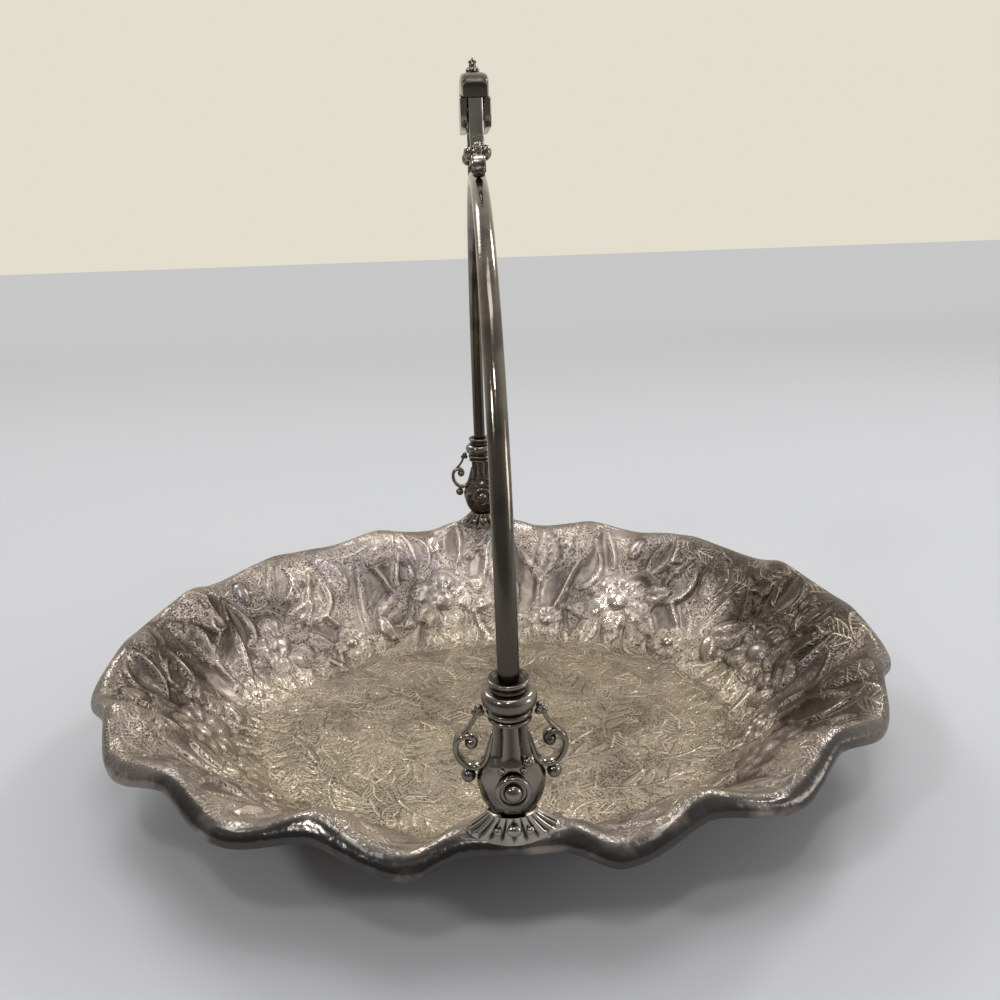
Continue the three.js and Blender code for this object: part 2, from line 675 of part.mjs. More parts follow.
// The room beside a strap's knuckle for one head of the pin
function eyeNotch(side) {
  const notch = rod('x', EYE_RADIUS + SEAM, STRAP_WIDTH, 16);
  return shifted(notch, new THREE.Vector3(side * (EYE_KNUCKLE_WIDTH + STRAP_WIDTH) / 2, 0, 0));
}

function shifted(solid, by) {
  return solid.translate([by.x, by.y, by.z]);
}

// Everything above the underside of the block, where the straps end
function aboveBlock() {
  const size = 2 * STRAP_FOOT_OUT;
  const box = new THREE.BoxGeometry(size, size, size);
  return solidOf(moved(box, 0, 0, BLOCK_Z - SEAM + size / 2));
}

// The pin through a strap's eye, with a ringed head on both sides
function eyePin() {
  const halfKnuckle = EYE_KNUCKLE_WIDTH / 2 + SEAM;
  const halfPin = EYE_WIDTH / 2;
  const profile = [
    new THREE.Vector2(0, -halfPin),
    new THREE.Vector2(EYE_RADIUS * 0.6, -halfPin + 0.45),
    new THREE.Vector2(EYE_RADIUS * 0.9, -halfPin + 0.2),
    new THREE.Vector2(EYE_RADIUS, -halfPin + 0.7),
    new THREE.Vector2(EYE_RADIUS, -halfKnuckle),
    new THREE.Vector2(EYE_HOLE_RADIUS, -halfKnuckle),
  ];
  const mirrored = profile.map((point) => new THREE.Vector2(point.x, -point.y)).reverse();
  const geometry = new THREE.LatheGeometry([...profile, ...mirrored], 12);
  return along('x', geometry);
}

// The arched upper edge that the plaques, the block and the cap share
function crestTop(y) {
  return PLAQUE_TOP_Z + CREST_RISE * (1 - (y / PLAQUE_HALF_LENGTH) ** 2);
}

function crestOutline(halfLength, bottom, corner) {
  const outline = new THREE.Shape();
  outline.moveTo(-halfLength + corner, bottom);
  outline.lineTo(halfLength - corner, bottom);
  outline.quadraticCurveTo(halfLength, bottom, halfLength, bottom + corner);
  for (let step = 0; step <= 10; step += 1) {
    const y = halfLength * (1 - 2 * step / 10);
    outline.lineTo(y, crestTop(y) - SEAM);
  }
  outline.lineTo(-halfLength, bottom + corner);
  outline.quadraticCurveTo(-halfLength, bottom, -halfLength + corner, bottom);
  return outline;
}

function crestPlate(halfLength, bottom, corner, thickness) {
  const outline = crestOutline(halfLength, bottom, corner);
  const bevel = corner > 0 ? 0.35 : 0;
  const geometry = new THREE.ExtrudeGeometry(outline, {
    depth: thickness - 2 * bevel,
    bevelEnabled: bevel > 0,
    bevelThickness: bevel,
    bevelSize: bevel,
    bevelOffset: -bevel,
    bevelSegments: 1,
    curveSegments: 5,
  });
  geometry.translate(0, 0, bevel - thickness / 2);
  geometry.rotateX(Math.PI / 2);
  geometry.rotateZ(Math.PI / 2);
  return geometry;
}

function plaque() {
  return crestPlate(PLAQUE_HALF_LENGTH, PLAQUE_TOP_Z - PLAQUE_HEIGHT, PLAQUE_CORNER, PLAQUE_THICKNESS);
}

function block() {
  return crestPlate(BLOCK_HALF_LENGTH, BLOCK_Z, 0, STRAP_WIDTH);
}

// The moulded cap, swept over the arched upper edge
const CAP_SECTION = [
  [-1, 0], [1, 0], [1, 0.72], [0.9, 0.9], [0.68, 0.97], [0, 1], [-0.68, 0.97], [-0.9, 0.9], [-1, 0.72],
];

function capRing(y) {
  const halfLength = PLAQUE_HALF_LENGTH + CAP_OVERHANG;
  const end = Math.sqrt(Math.max(0.45, 1 - Math.abs(y / halfLength) ** 10));
  const low = crestTop(y) + SEAM;
  return CAP_SECTION.map(([x, z]) => new THREE.Vector3(
    x * CAP_HALF_WIDTH * (0.5 + 0.5 * end),
    y,
    low + z * CAP_THICKNESS * end,
  ));
}

function cap() {
  const rings = [];
  const halfLength = PLAQUE_HALF_LENGTH + CAP_OVERHANG;
  const steps = 14;
  for (let step = 0; step <= steps; step += 1) rings.push(capRing(halfLength * Math.cos(Math.PI * step / steps)));
  return loft(rings);
}

function finial() {
  const pieces = [];
  const leafZ = FINIAL_LEAF_RADIUS;
  for (let leaf = 0; leaf < 4; leaf += 1) {
    const angle = Math.PI / 2 * leaf;
    pieces.push(ball(FINIAL_LEAF_RADIUS, 1.15 * Math.cos(angle), 1.15 * Math.sin(angle), leafZ, 6, 4));
  }
  const knobZ = leafZ + FINIAL_KNOB_RADIUS * 0.95;
  pieces.push(ball(FINIAL_KNOB_RADIUS, 0, 0, knobZ, 8, 5));
  const tip = new THREE.ConeGeometry(FINIAL_KNOB_RADIUS * 0.62, FINIAL_HEIGHT - knobZ, 6);
  tip.rotateX(Math.PI / 2);
  pieces.push(solidOf(moved(tip, 0, 0, (FINIAL_HEIGHT + knobZ) / 2)));
  for (const side of [-1, 1]) {
    pieces.push(ball(FINIAL_KNOB_RADIUS * 0.5, side * 0.75, 0, knobZ + 1.1, 6, 4));
  }
  const whole = joined(pieces);
  const deep = 2 * FINIAL_HEIGHT;
  const floor = new THREE.BoxGeometry(deep, deep, deep);
  return geometryOf(whole.subtract(solidOf(moved(floor, 0, 0, FINIAL_FLAT - deep / 2))));
}

// Assembly
const basket = new THREE.Group();

function place(name, geometry, material, parent) {
  const mesh = new THREE.Mesh(geometry, material);
  mesh.name = name;
  parent.add(mesh);
  return mesh;
}

function post(end, direction) {
  const group = new THREE.Group();
  group.position.set(0, direction * POST_Y, 0);
  const footGeometry = foot();
  if (direction > 0) footGeometry.rotateZ(Math.PI);
  place(`foot_${end}`, footGeometry, cast, group).position.z = SEAT_Z;
  const hinge = new THREE.Group();
  hinge.position.z = PIVOT_Z;
  group.add(hinge);
  place(`urn_${end}`, urn(), cast, hinge);
  place(`pivot_rivet_${end}`, rivet(), cast, hinge);
  const face = URN_FACE_HALF_DEPTH + SEAM;
  const near = place(`rosette_${end}_${direction < 0 ? 'outer' : 'inner'}`, rosette(), cast, hinge);
  near.position.y = -face;
  const far = place(`rosette_${end}_${direction < 0 ? 'inner' : 'outer'}`, rosette(), cast, hinge);
  far.rotation.z = Math.PI;
  far.position.y = face;
  place(`collar_${end}`, collar(), cast, group).position.z = COLLAR_Z;
  const scroll = geometryOf(sideScroll());
  place(`scroll_${end}_right`, scroll, cast, hinge);
  place(`scroll_${end}_left`, scroll.clone(), cast, hinge).rotation.z = Math.PI;
  return group;
}

place('dish', dish(), plate, basket);
basket.add(post('front', -1), post('back', 1));
place('handle_arch', arch(), drawn, basket);
for (const [end, turn] of [['front', 0], ['back', Math.PI]]) {
  place(`strap_${end}`, strap(), cast, basket).rotation.z = turn;
  const pin = place(`eye_pin_${end}`, eyePin(), cast, basket);
  const height = strapFoot().z + EYE_RISE - 2;
  pin.position.set(0, turn === 0 ? -EYE_OUT : EYE_OUT, height);
}
const plaqueX = STRAP_WIDTH / 2 + SEAM + PLAQUE_THICKNESS / 2;
place('plaque_left', plaque(), cast, basket).position.x = -plaqueX;
place('plaque_right', plaque(), cast, basket).position.x = plaqueX;
place('crest_block', block(), cast, basket);
place('crest_cap', cap(), cast, basket);
place('finial', finial(), cast, basket).position.z = FINIAL_Z;

export default basket;
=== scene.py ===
"""Oval cake basket in tarnished silver plate.

A ruffled dish chased all over with flowers and foliage, and an arched handle that swings on
two small urns standing on the rim. The frame's solids set every place and size. The pieces
here are the finished surfaces that stand for them. Sizes are in millimetres up to the point
where a mesh is made, and in metres in Blender.
"""

import math

import bpy
import numpy as np
from bpy.props import FloatProperty, FloatVectorProperty, PointerProperty
from mathutils import Matrix, Vector


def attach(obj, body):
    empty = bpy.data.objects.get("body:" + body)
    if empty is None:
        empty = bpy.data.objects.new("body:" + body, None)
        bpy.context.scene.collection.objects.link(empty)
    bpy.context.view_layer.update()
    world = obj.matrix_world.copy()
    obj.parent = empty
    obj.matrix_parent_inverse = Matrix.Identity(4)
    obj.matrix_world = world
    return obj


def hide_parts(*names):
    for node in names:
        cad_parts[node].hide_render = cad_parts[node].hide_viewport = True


bl_info = {
    "name": "Oval cake basket",
    "version": (1, 0, 0),
    "blender": (4, 5, 0),
    "location": "3D View > Sidebar > Basket",
    "description": "Builds a chased silver-plate cake basket with a swing handle",
    "category": "Add Mesh",
}

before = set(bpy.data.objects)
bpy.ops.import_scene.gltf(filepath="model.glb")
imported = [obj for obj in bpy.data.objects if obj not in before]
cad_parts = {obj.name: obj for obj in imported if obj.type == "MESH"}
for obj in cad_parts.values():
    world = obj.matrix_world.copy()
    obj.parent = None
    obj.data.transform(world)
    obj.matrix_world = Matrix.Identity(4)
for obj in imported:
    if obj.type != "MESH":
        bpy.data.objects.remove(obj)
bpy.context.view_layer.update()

MM = 0.001
TAU = 2 * math.pi

# Heights above the table that the pieces share, in millimetres
SEAT_Z = 45.2
PIVOT_Z = 60.7
COLLAR_Z = 79.7
ARCH_Z = 89.4
BLOCK_Z = 231.4
PLAQUE_TOP_Z = 233.8
FINIAL_Z = 242.8

# Other lengths that they share, and the two posts' places and the turns that face them out
SEAM = 0.3
SHEET = 1.0
FLOOR_HALF_LENGTH = 94
FLOOR_HALF_WIDTH = 68
RIM_HALF_LENGTH = 140.5
POST_Y = 121.0
ARCH_RISE = 121.5
ROD_HALF_DEPTH = 2.5
POSTS = (("front", -POST_Y), ("back", POST_Y))
TURNS = (("front", 0), ("back", 180))


# Sizes and colours that a user may change


def length(label, meaning, millimetres):
    """A length property, whose default is given in millimetres."""
    return FloatProperty(name=label, description=meaning, default=millimetres * MM, min=0,
                         unit="LENGTH", precision=4)


def colour(label, meaning, value):
    """A linear colour property."""
    return FloatVectorProperty(name=label, description=meaning, default=value, size=3, min=0,
                               max=1, subtype="COLOR")


class DishSizes(bpy.types.PropertyGroup):
    """Sizes of the dish."""

    floor_length: length("Floor half length", "Middle of the floor to its end", FLOOR_HALF_LENGTH)
    floor_width: length("Floor half width", "Middle of the floor to its side", FLOOR_HALF_WIDTH)
    rim_length: length("Rim half length", "Middle of the dish to the rim's crest, lengthwise",
                       RIM_HALF_LENGTH)
    rim_width: length("Rim half width", "Middle of the dish to the rim's crest, crosswise", POST_Y)
    rim_height: length("Rim height", "Table to the rim's crest at a fold", SEAT_Z)
    sheet: length("Sheet", "Thickness of the metal", SHEET)
    lobe_out: length("Lobe reach", "How far a lobe of the rim stands out past a fold", 4.4)
    lobe_drop: length("Lobe drop", "How far a lobe's edge hangs below a fold", 4.8)
    relief: length("Wall relief", "Height of the raised flowers and leaves on the wall", 2.0)
    engraving: length("Floor relief", "Height of the chased foliage on the floor", 0.45)


class HandleSizes(bpy.types.PropertyGroup):
    """Sizes of the handle."""

    rod_width: length("Rod half width", "Half the rod's width across the arch's plane", 2.8)
    rod_depth: length("Rod half depth", "Half the rod's thickness in the arch's plane",
                      ROD_HALF_DEPTH)
    arch_rise: length("Arch rise", "Spring line to the middle of the rod on top", ARCH_RISE)


class Finishes(bpy.types.PropertyGroup):
    """Colours of the metal."""

    floor_metal: colour("Floor metal", "Warm tarnished plate on the floor", (0.54, 0.465, 0.355))
    wall_metal: colour("Wall metal", "Pinkish tarnished plate on the wall", (0.72, 0.615, 0.54))
    # Painted dark: the polished roll's colour stands for the dark reflections it shows.
    rim_metal_painted_dark: colour("Rim metal", "Polished plate on the rolled rim", (0.072, 0.07, 0.069))
    cast_metal: colour("Cast metal", "Castings of the handle", (0.235, 0.205, 0.175))
    # A lighter copy of the cast metal, painted light for the feet and straps.
    cast_metal_painted_light: colour("Worn metal", "Castings rubbed bright: feet and straps", (0.43, 0.4, 0.35))
    rod_metal: colour("Rod metal", "Drawn rod of the arch", (0.185, 0.162, 0.132))
    # Burnished strokes, lightened further as painted highlights.
    burnish_and_highlight_metal: colour("Bright metal", "Burnished strokes of the engraving", (0.86, 0.74, 0.56))
    lilac_metal: colour("Lilac metal", "Bluish bloom in patches on the wall", (0.50, 0.45, 0.50))
    tarnish: colour("Tarnish", "Brown film left in the hollows", (0.085, 0.068, 0.055))
    # Painted shade for the castings' hollows and a few of their faces, laid over the tarnish that
    # lies in the hollows.
    hollow: colour("Casting hollows", "Dark film in the castings' hollows", (0.035, 0.028, 0.022))
    tarnish_amount: FloatProperty(
        name="Tarnish amount", description="How thick the film on the dish is", default=1.0,
        min=0, max=1, subtype="FACTOR")


class StageSettings(bpy.types.PropertyGroup):
    """Floor, lamps and camera."""

    floor: colour("Floor", "Plain floor under the basket", (0.60, 0.61, 0.63))
    wall: colour("Wall", "Plain wall behind the floor", (0.77, 0.725, 0.61))
    lamp_power: FloatProperty(
        name="Lamp power", description="Power of the strongest lamp", default=5.0, min=0,
        unit="POWER")
    lens: FloatProperty(
        name="Lens", description="Focal length", default=32.83, min=1, unit="CAMERA")


def settings(group):
    """The scene's settings for the dish, the handle, the finish or the stage."""
    return getattr(bpy.context.scene, f"basket_{group}")


# Surfaces as arrays


def smooth(low, high, value):
    """A cubic step from 0 at low to 1 at high, which may be the lower of the two."""
    t = np.clip((value - low) / (high - low), 0, 1)
    return t * t * (3 - 2 * t)


def coords(*parts):
    """Points from one array or number for each of their coordinates."""
    return np.stack(np.broadcast_arrays(*parts), axis=-1)


class Surface:
    """Points in millimetres and the faces between them, each face a row of point numbers."""

    def __init__(self, points, faces):
        self.points = points
        self.faces = faces

    def moved(self, x=0.0, y=0.0, z=0.0):
        """The same surface at another place."""
        return Surface(self.points + np.array([x, y, z]), self.faces)

    def turned(self, degrees, axis="Z"):
        """The same surface turned about one of the three axes."""
        turn = np.array(Matrix.Rotation(math.radians(degrees), 3, axis))
        return Surface(self.points @ turn.T, self.faces)


def joined(*surfaces):
    """One surface that holds several, each keeping its own points."""
    starts = np.cumsum([0] + [len(one.points) for one in surfaces])
    faces = [block + start for one, start in zip(surfaces, starts) for block in one.faces]
    return Surface(np.concatenate([one.points for one in surfaces]), faces)


def net(rows, columns, around=True):
    """Quads between neighbours on a grid of points, whose columns may run round to meet."""
    row, column = np.meshgrid(np.arange(rows - 1), np.arange(columns - (not around)),
                              indexing="ij")
    beside = (column + 1) % columns
    corners = (row * columns + column, row * columns + beside)
    above = ((row + 1) * columns + beside, (row + 1) * columns + column)
    return coords(*corners, *above).reshape(-1, 4)


def loft(rings, closed=True):
    """A surface through rings of points, each anticlockwise seen from the last one's side.
    The two ends are closed by a fan of triangles to their middle."""
    rows, columns = rings.shape[:2]
    points = rings.reshape(-1, 3)
    faces = [net(rows, columns)]
    if closed:
        middles = np.stack([rings[0].mean(0), rings[-1].mean(0)])
        here = np.arange(columns)
        beside = (here + 1) % columns
        last = (rows - 1) * columns
        low, high = len(points), len(points) + 1
        faces.append(coords(beside, here, low))
        faces.append(coords(last + here, last + beside, high))
        points = np.concatenate([points, middles])
    return Surface(points, faces)


def ring(profile, sides=48, axis="Z"):
    """A profile of radius and height, running upward on the outside, turned about an axis."""
    profile = np.asarray(profile, float)
    angle = TAU * np.arange(sides) / sides
    radius, height = profile[:, :1], profile[:, 1:]
    surface = loft(coords(radius * np.cos(angle), radius * np.sin(angle), height))
    return surface if axis == "Z" else surface.turned(90, "Y" if axis == "X" else "X")


def ball(radius, x, y, z, stretch=(1, 1, 1), sides=24):
    """A sphere or, stretched, an ellipsoid: radius times cosine and sine of the latitude."""
    latitude = np.linspace(-math.pi / 2, math.pi / 2, sides // 2 + 1)[1:-1]
    surface = ring(coords(radius * np.cos(latitude), radius * np.sin(latitude)), sides)
    return Surface(surface.points * np.array(stretch), surface.faces).moved(x, y, z)


def bulge(low, high, inner, outer, steps=14, fullness=1.0):
    """Profile points of half an ellipse that stands out between two heights."""
    angle = np.linspace(0, math.pi, steps + 1)
    radius = inner + (outer - inner) * np.sin(angle) ** fullness
    return coords(radius, low + (high - low) * (1 - np.cos(angle)) / 2)


def spline(points, samples):
    """A centripetal Catmull-Rom curve: each span is a cubic through its two ends, whose slopes
    come from the neighbouring points, weighted by the root of the distances between them."""
    points = np.asarray(points, float)
    ends = np.stack([2 * points[0] - points[1], 2 * points[-1] - points[-2]])
    p = np.concatenate([ends[:1], points, ends[1:]])
    gap = np.linalg.norm(np.diff(p, axis=0), axis=1)[:, None] ** 0.5
    at = np.linspace(0, len(points) - 1, samples)
    span = np.minimum(at.astype(int), len(points) - 2)
    t = (at - span)[:, None]
    a, b, c, d = (p[span + step] for step in range(4))
    g0, g1, g2 = (gap[span + step] for step in range(3))
    first = ((b - a) / g0 - (c - a) / (g0 + g1) + (c - b) / g1) * g1
    second = ((c - b) / g1 - (d - b) / (g1 + g2) + (d - c) / g2) * g1
    square = -3 * b + 3 * c - 2 * first - second
    cube = 2 * b - 2 * c + first + second
    return b + first * t + square * t**2 + cube * t**3


def sweep(path, section, across, grown=1.0):
    """A section carried along a flat path. The section's first number runs along the fixed
    direction that is square to the path's plane and its second along the path's own normal."""
    heading = np.gradient(path, axis=0)
    heading /= np.linalg.norm(heading, axis=1)[:, None]
    across = np.broadcast_to(np.asarray(across, float), path.shape)
    normal = np.cross(heading, across)
    section = np.asarray(section, float)
    grown = np.broadcast_to(np.asarray(grown, float).reshape(-1, 1, 1), (len(path), 1, 1))
    side = across[:, None] * section[None, :, :1] + normal[:, None] * section[None, :, 1:]
    return loft(path[:, None] + side * grown)


def oval(half_width, half_depth, sides=16, square=1.0):
    """An ellipse, or a squarer oval: cosine and sine raised to a power below 1."""
    angle = TAU * np.arange(sides) / sides
    bent = [np.sign(part) * np.abs(part) ** square for part in (np.cos(angle), np.sin(angle))]
    return coords(half_width * bent[0], half_depth * bent[1])


# Meshes and pieces


def mesh_of(name, surface, marks=None):
    """A mesh from a surface, in metres, with a number or a vector at each point under each
    given name."""
    mesh = bpy.data.meshes.new(name)
    faces = [row for block in surface.faces for row in block.tolist()]
    mesh.from_pydata((surface.points * MM).tolist(), [], faces)
    mesh.shade_smooth()
    for label, values in (marks or {}).items():
        values = np.asarray(values, np.float32)
        kind, field = (("FLOAT", "value"), ("FLOAT_VECTOR", "vector"))[values.ndim - 1]
        mesh.attributes.new(label, kind, "POINT").data.foreach_set(field, values.ravel())
    mesh.update()
    return mesh


def piece(name, surface, finish, body, node, marks=None):
    """One finished piece that stands for a CAD node and rides on its body."""
    made = bpy.data.objects.new(name, mesh_of(name, surface, marks))
    bpy.context.scene.collection.objects.link(made)
    made.data.materials.append(finish_named(finish))
    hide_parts(node)
    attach(made, body)
    return made


def casting(name, surface, node, finish="cast_silver"):
    """A cast piece of the handle."""
    return piece(name, surface, finish, "handle", node)


def mark_painted_shade(made, formula):
    """Marks painted shade on a casting, from 0 to 1, in its hollows and wherever else a formula of
    its points' x, y and z in millimetres puts it."""
    points = np.empty(3 * len(made.data.vertices), np.float32)
    made.data.vertices.foreach_get("co", points)
    values = np.clip(formula(*(points.reshape(-1, 3) / MM).T), 0, 1).astype(np.float32)
    made.data.attributes.new("hollow", "FLOAT", "POINT").data.foreach_set("value", values)


def crease(made, degrees=40):
    """Sharp edges where two faces meet at more than an angle."""
    made.data.set_sharp_from_angle(angle=math.radians(degrees))


def cut(made, cutter):
    """Takes the cutter's volume out of a piece and keeps what is left as its mesh."""
    tool = bpy.data.objects.new("cutter", mesh_of("cutter", cutter))
    bpy.context.scene.collection.objects.link(tool)
    tool.data.shade_flat()
    modifier = made.modifiers.new("cut", "BOOLEAN")
    modifier.object, modifier.operation, modifier.solver = tool, "DIFFERENCE", "EXACT"
    bpy.context.view_layer.update()
    evaluated = made.evaluated_get(bpy.context.evaluated_depsgraph_get())
    result = bpy.data.meshes.new_from_object(evaluated)
    made.modifiers.clear()
    old, made.data = made.data, result
    name = old.name
    bpy.data.meshes.remove(old)
    result.name = name
    bpy.data.objects.remove(tool)


# Shader nodes


class Wire:
    """One output of a node tree, with the arithmetic operators as Math nodes."""

    def __init__(self, graph, socket):
        self.graph = graph
        self.socket = socket

    def _math(self, operation, *values):
        """A Math node of numbers and wires in the order of its sockets."""
        return self.graph.node("ShaderNodeMath", {"operation": operation}, dict(enumerate(values)))

    def __add__(self, other):
        return self._math("ADD", self, other)

    def __sub__(self, other):
        return self._math("SUBTRACT", self, other)

    def __rsub__(self, other):
        return self._math("SUBTRACT", other, self)

    def __mul__(self, other):
        return self._math("MULTIPLY", self, other)

    def __abs__(self):
        return self._math("ABSOLUTE", self)

    def do(self, operation, *others):
        """Another operation of the Math node."""
        return self._math(operation, self, *others)

    __radd__ = __add__
    __rmul__ = __mul__


class Graph:
    """The node tree of a material or a world, emptied first."""

    def __init__(self, owner):
        self.owner = owner
        owner.use_nodes = True
        self.tree = owner.node_tree
        self.tree.nodes.clear()

    def node(self, kind, options=None, inputs=None, output=0):
        """A node of a kind, with its options set first and then its sockets' values or wires."""
        made = self.tree.nodes.new(kind)
        for name, value in (options or {}).items():
            setattr(made, name, value)
        for name, value in (inputs or {}).items():
            socket = made.inputs[name]
            if isinstance(value, Wire):
                self.tree.links.new(value.socket, socket)
            elif value is not None:
                socket.default_value = value
        return Wire(self, made.outputs[output]) if made.outputs else None

    def mix(self, amount, first, second):
        """A colour between two, by an amount from 0 to 1."""
        options = {"data_type": "RGBA", "clamp_factor": True}
        return self.node("ShaderNodeMix", options, {0: amount, 6: first, 7: second}, 2)

    def between(self, value, low, high, first=0.0, second=1.0):
        """The value's place between two levels, clamped, as a number from first to second."""
        inputs = {0: value, 1: low, 2: high, 3: first, 4: second}
        return self.node("ShaderNodeMapRange", {"interpolation_type": "SMOOTHSTEP"}, inputs)

    def place(self):
        """The point on the object, in metres."""
        return self.node("ShaderNodeTexCoord", output=3)

    def noise(self, scale, detail=3.0, roughness=0.55):
        """Noise with lumps about one metre over the scale across."""
        inputs = {"Vector": self.place(), "Scale": scale, "Detail": detail,
                  "Roughness": roughness}
        return self.node("ShaderNodeTexNoise", {}, inputs)

    def mark(self, name, output="Fac"):
        """A number or a vector kept at the mesh's points."""
        return self.node("ShaderNodeAttribute", {"attribute_name": name}, output=output)

    def axis(self, vector, number):
        """One of a vector's three numbers."""
        return self.node("ShaderNodeSeparateXYZ", {}, {0: vector}, number)

    def engraving(self, where, scale):
        """Engraved sprays, one to a cell: a curved stalk, slanting strokes on both sides of it
        and an outline, as a number that is 1 on a stroke. The outline is a parabola of the way
        along the stalk, and the strokes are where 10 along less 6 aside is near a whole."""
        options = {"voronoi_dimensions": "2D"}
        inputs = {"Vector": where, "Scale": scale, "Randomness": 0.85}
        seed = self.node("ShaderNodeTexVoronoi", options, inputs, "Position")
        dice = self.node("ShaderNodeTexVoronoi", options, inputs, "Color")
        offset = self.node("ShaderNodeVectorMath", {"operation": "SUBTRACT"}, {0: where, 1: seed})
        x, y = self.axis(offset, 0) * scale, self.axis(offset, 1) * scale
        turn, bend = self.axis(dice, 0) * TAU, self.axis(dice, 1) * 2.4 - 1.2
        cosine, sine = turn.do("COSINE"), turn.do("SINE")
        along = x * cosine + y * sine
        aside = abs(y * cosine - x * sine - bend * along * along)
        edge = 0.3 - along * along * 0.85
        comb = abs((along * 10 - aside * 6).do("FRACT") - 0.5) * 2
        inside = self.between(edge - aside, 0.0, 0.03)
        strokes = self.between(comb, 0.55, 0.95) * inside
        outline = 1 - self.between(abs(edge - aside), 0.008, 0.035)
        stalk = (1 - self.between(aside, 0.01, 0.035)) * self.between(edge, 0.0, 0.05)
        return strokes.do("MAXIMUM", outline * 0.8).do("MAXIMUM", stalk)

    def bump(self, height, distance, under=None):
        """A normal bent by a height between 0 and 1 over a distance in metres."""
        inputs = {"Strength": 1.0, "Distance": distance, "Height": height, "Normal": under}
        return self.node("ShaderNodeBump", {}, inputs)

    def metal(self, base, roughness, normal):
        """The material as a bare metal surface."""
        inputs = {"Base Color": base, "Metallic": 1.0, "Roughness": roughness, "Normal": normal}
        return self.ended(self.node("ShaderNodeBsdfPrincipled", {}, inputs))

    def ended(self, shader, output="ShaderNodeOutputMaterial"):
        """The material or the world, with a shader led to its output."""
        self.node(output, {}, {"Surface": shader})
        return self.owner


def opaque(value):
    """A colour property with full alpha."""
    return (*value, 1.0)


def plate_finish(name):
    """Chased plate: warm on the floor and pinkish on the wall, bare on the raised work, tarnished
    in the hollows and darker towards the ends as painted shade, with engraved strokes, burnished
    and lightened further as painted highlights, on a stippled ground that give way to smooth metal
    on the rim's roll, painted dark for its reflections and broken by patches that are partly
    rubbed and partly painted glints."""
    finish = settings("finish")
    graph = Graph(bpy.data.materials.new(name))
    height = graph.mark("relief")
    polish = graph.mark("polish")
    plan = graph.mark("plan", "Vector")
    x, z = graph.axis(graph.place(), 0), graph.axis(graph.place(), 2)
    patch = graph.between(graph.noise(11.0, 3.0), 0.4, 0.62)
    raised = graph.between(z, 0.004, 0.03)
    # Painted shade: the walls darken towards both ends of the dish.
    ends = graph.between(abs(x + 0.012), 0.06, 0.15) * raised
    dent = graph.between(height, -0.12, -0.45)
    blotch = graph.between(graph.noise(30.0, 5.0, 0.65), 0.36, 0.62)
    shifted = graph.node("ShaderNodeMapping", {}, {0: plan, 1: (0.37, 0.21, 0), 2: (0, 0, 0.9)})
    broken = graph.between(graph.noise(85.0, 2.0), 0.42, 0.56)
    fine = graph.engraving(shifted, 66.0) * (1 - broken)
    line = (graph.engraving(plan, 44.0) * broken).do("MAXIMUM", fine)
    line = line * (1 - polish) * (1 - graph.between(abs(height), 0.08, 0.3)) * (1 - raised * 0.25)
    pits = graph.node("ShaderNodeTexVoronoi", {}, {"Vector": graph.place(), "Scale": 1150.0})
    stipple = (1 - graph.between(pits, 0.1, 0.55)) * (1 - polish) * (1 - dent) * (1 - raised * 0.1)
    worn = graph.between(height, -0.12, 0.75)
    film_and_shade = (1 - worn) * (0.18 + stipple * 0.7) + blotch * 0.42 + dent * 0.25 + ends * 0.66
    film_and_shade = film_and_shade * (1 - polish * 0.4) * finish.tarnish_amount
    bare = graph.mix(graph.between(z + patch * 0.014, 0.006, 0.034), opaque(finish.floor_metal),
                     opaque(finish.wall_metal))
    lilac = graph.between(graph.noise(26.0, 2.0), 0.45, 0.65) * raised
    bare = graph.mix(lilac * 0.6, bare, opaque(finish.lilac_metal))
    # Patches where the rim keeps less of its dark colour: partly rubbed wear, partly painted
    # glints.
    rubbed = graph.between(graph.noise(38.0, 4.0, 0.6), 0.5, 0.66)
    # The rim's roll takes the rim colour, painted dark for the reflections on it.
    bare = graph.mix(polish * (1 - rubbed * 0.4), bare, opaque(finish.rim_metal_painted_dark))
    base = graph.mix(film_and_shade, bare, opaque(finish.tarnish))
    # The strokes lighten: burnished metal with painted highlights on it.
    base = graph.mix(line * 0.62, base, opaque(finish.burnish_and_highlight_metal))
    uneven = graph.noise(900.0, 2.0) * 0.4 + ((1 - worn) * 0.5 + blotch * 0.3) * (1 - polish * 0.5)
    roughness = graph.between(uneven, 0.0, 1.0, 0.18, 0.42) - polish * 0.09
    ground = graph.bump(line * 0.6 - stipple * (1 - worn) * 0.7, 0.0005)
    waves = graph.noise(120.0, 3.0) * (1 - polish * 0.5) + graph.noise(420.0, 3.0) * 0.14
    normal = graph.bump(waves, 0.0009, ground)
    return graph.metal(base, roughness, normal)


def cast_finish(name, metal_colour, dark=0.55, dents=0.00012, smoothest=0.15):
    """Cast or drawn silver with brown tarnish in broad clouds up to a share that is dark, painted
    shade over the tarnish in the hollows and the other places that the mesh marks, dents of a
    depth in metres, and fine wear."""
    finish = settings("finish")
    graph = Graph(bpy.data.materials.new(name))
    cloud = graph.between(graph.noise(90.0, 4.0), 0.4, 0.7)
    grain = graph.noise(1200.0, 2.0)
    # Painted shade: the mesh's mark darkens the hollows and the other places it covers, over the
    # brown clouds.
    film_and_shade = (cloud * dark).do("MAXIMUM", graph.mark("hollow"))
    base = graph.mix(film_and_shade, opaque(metal_colour), opaque(finish.hollow))
    roughness = graph.between(grain * 0.5 + film_and_shade * 0.5, 0.2, 0.9, smoothest, smoothest + 0.2)
    normal = graph.bump(graph.noise(350.0, 2.0), dents)
    return graph.metal(base, roughness, normal)


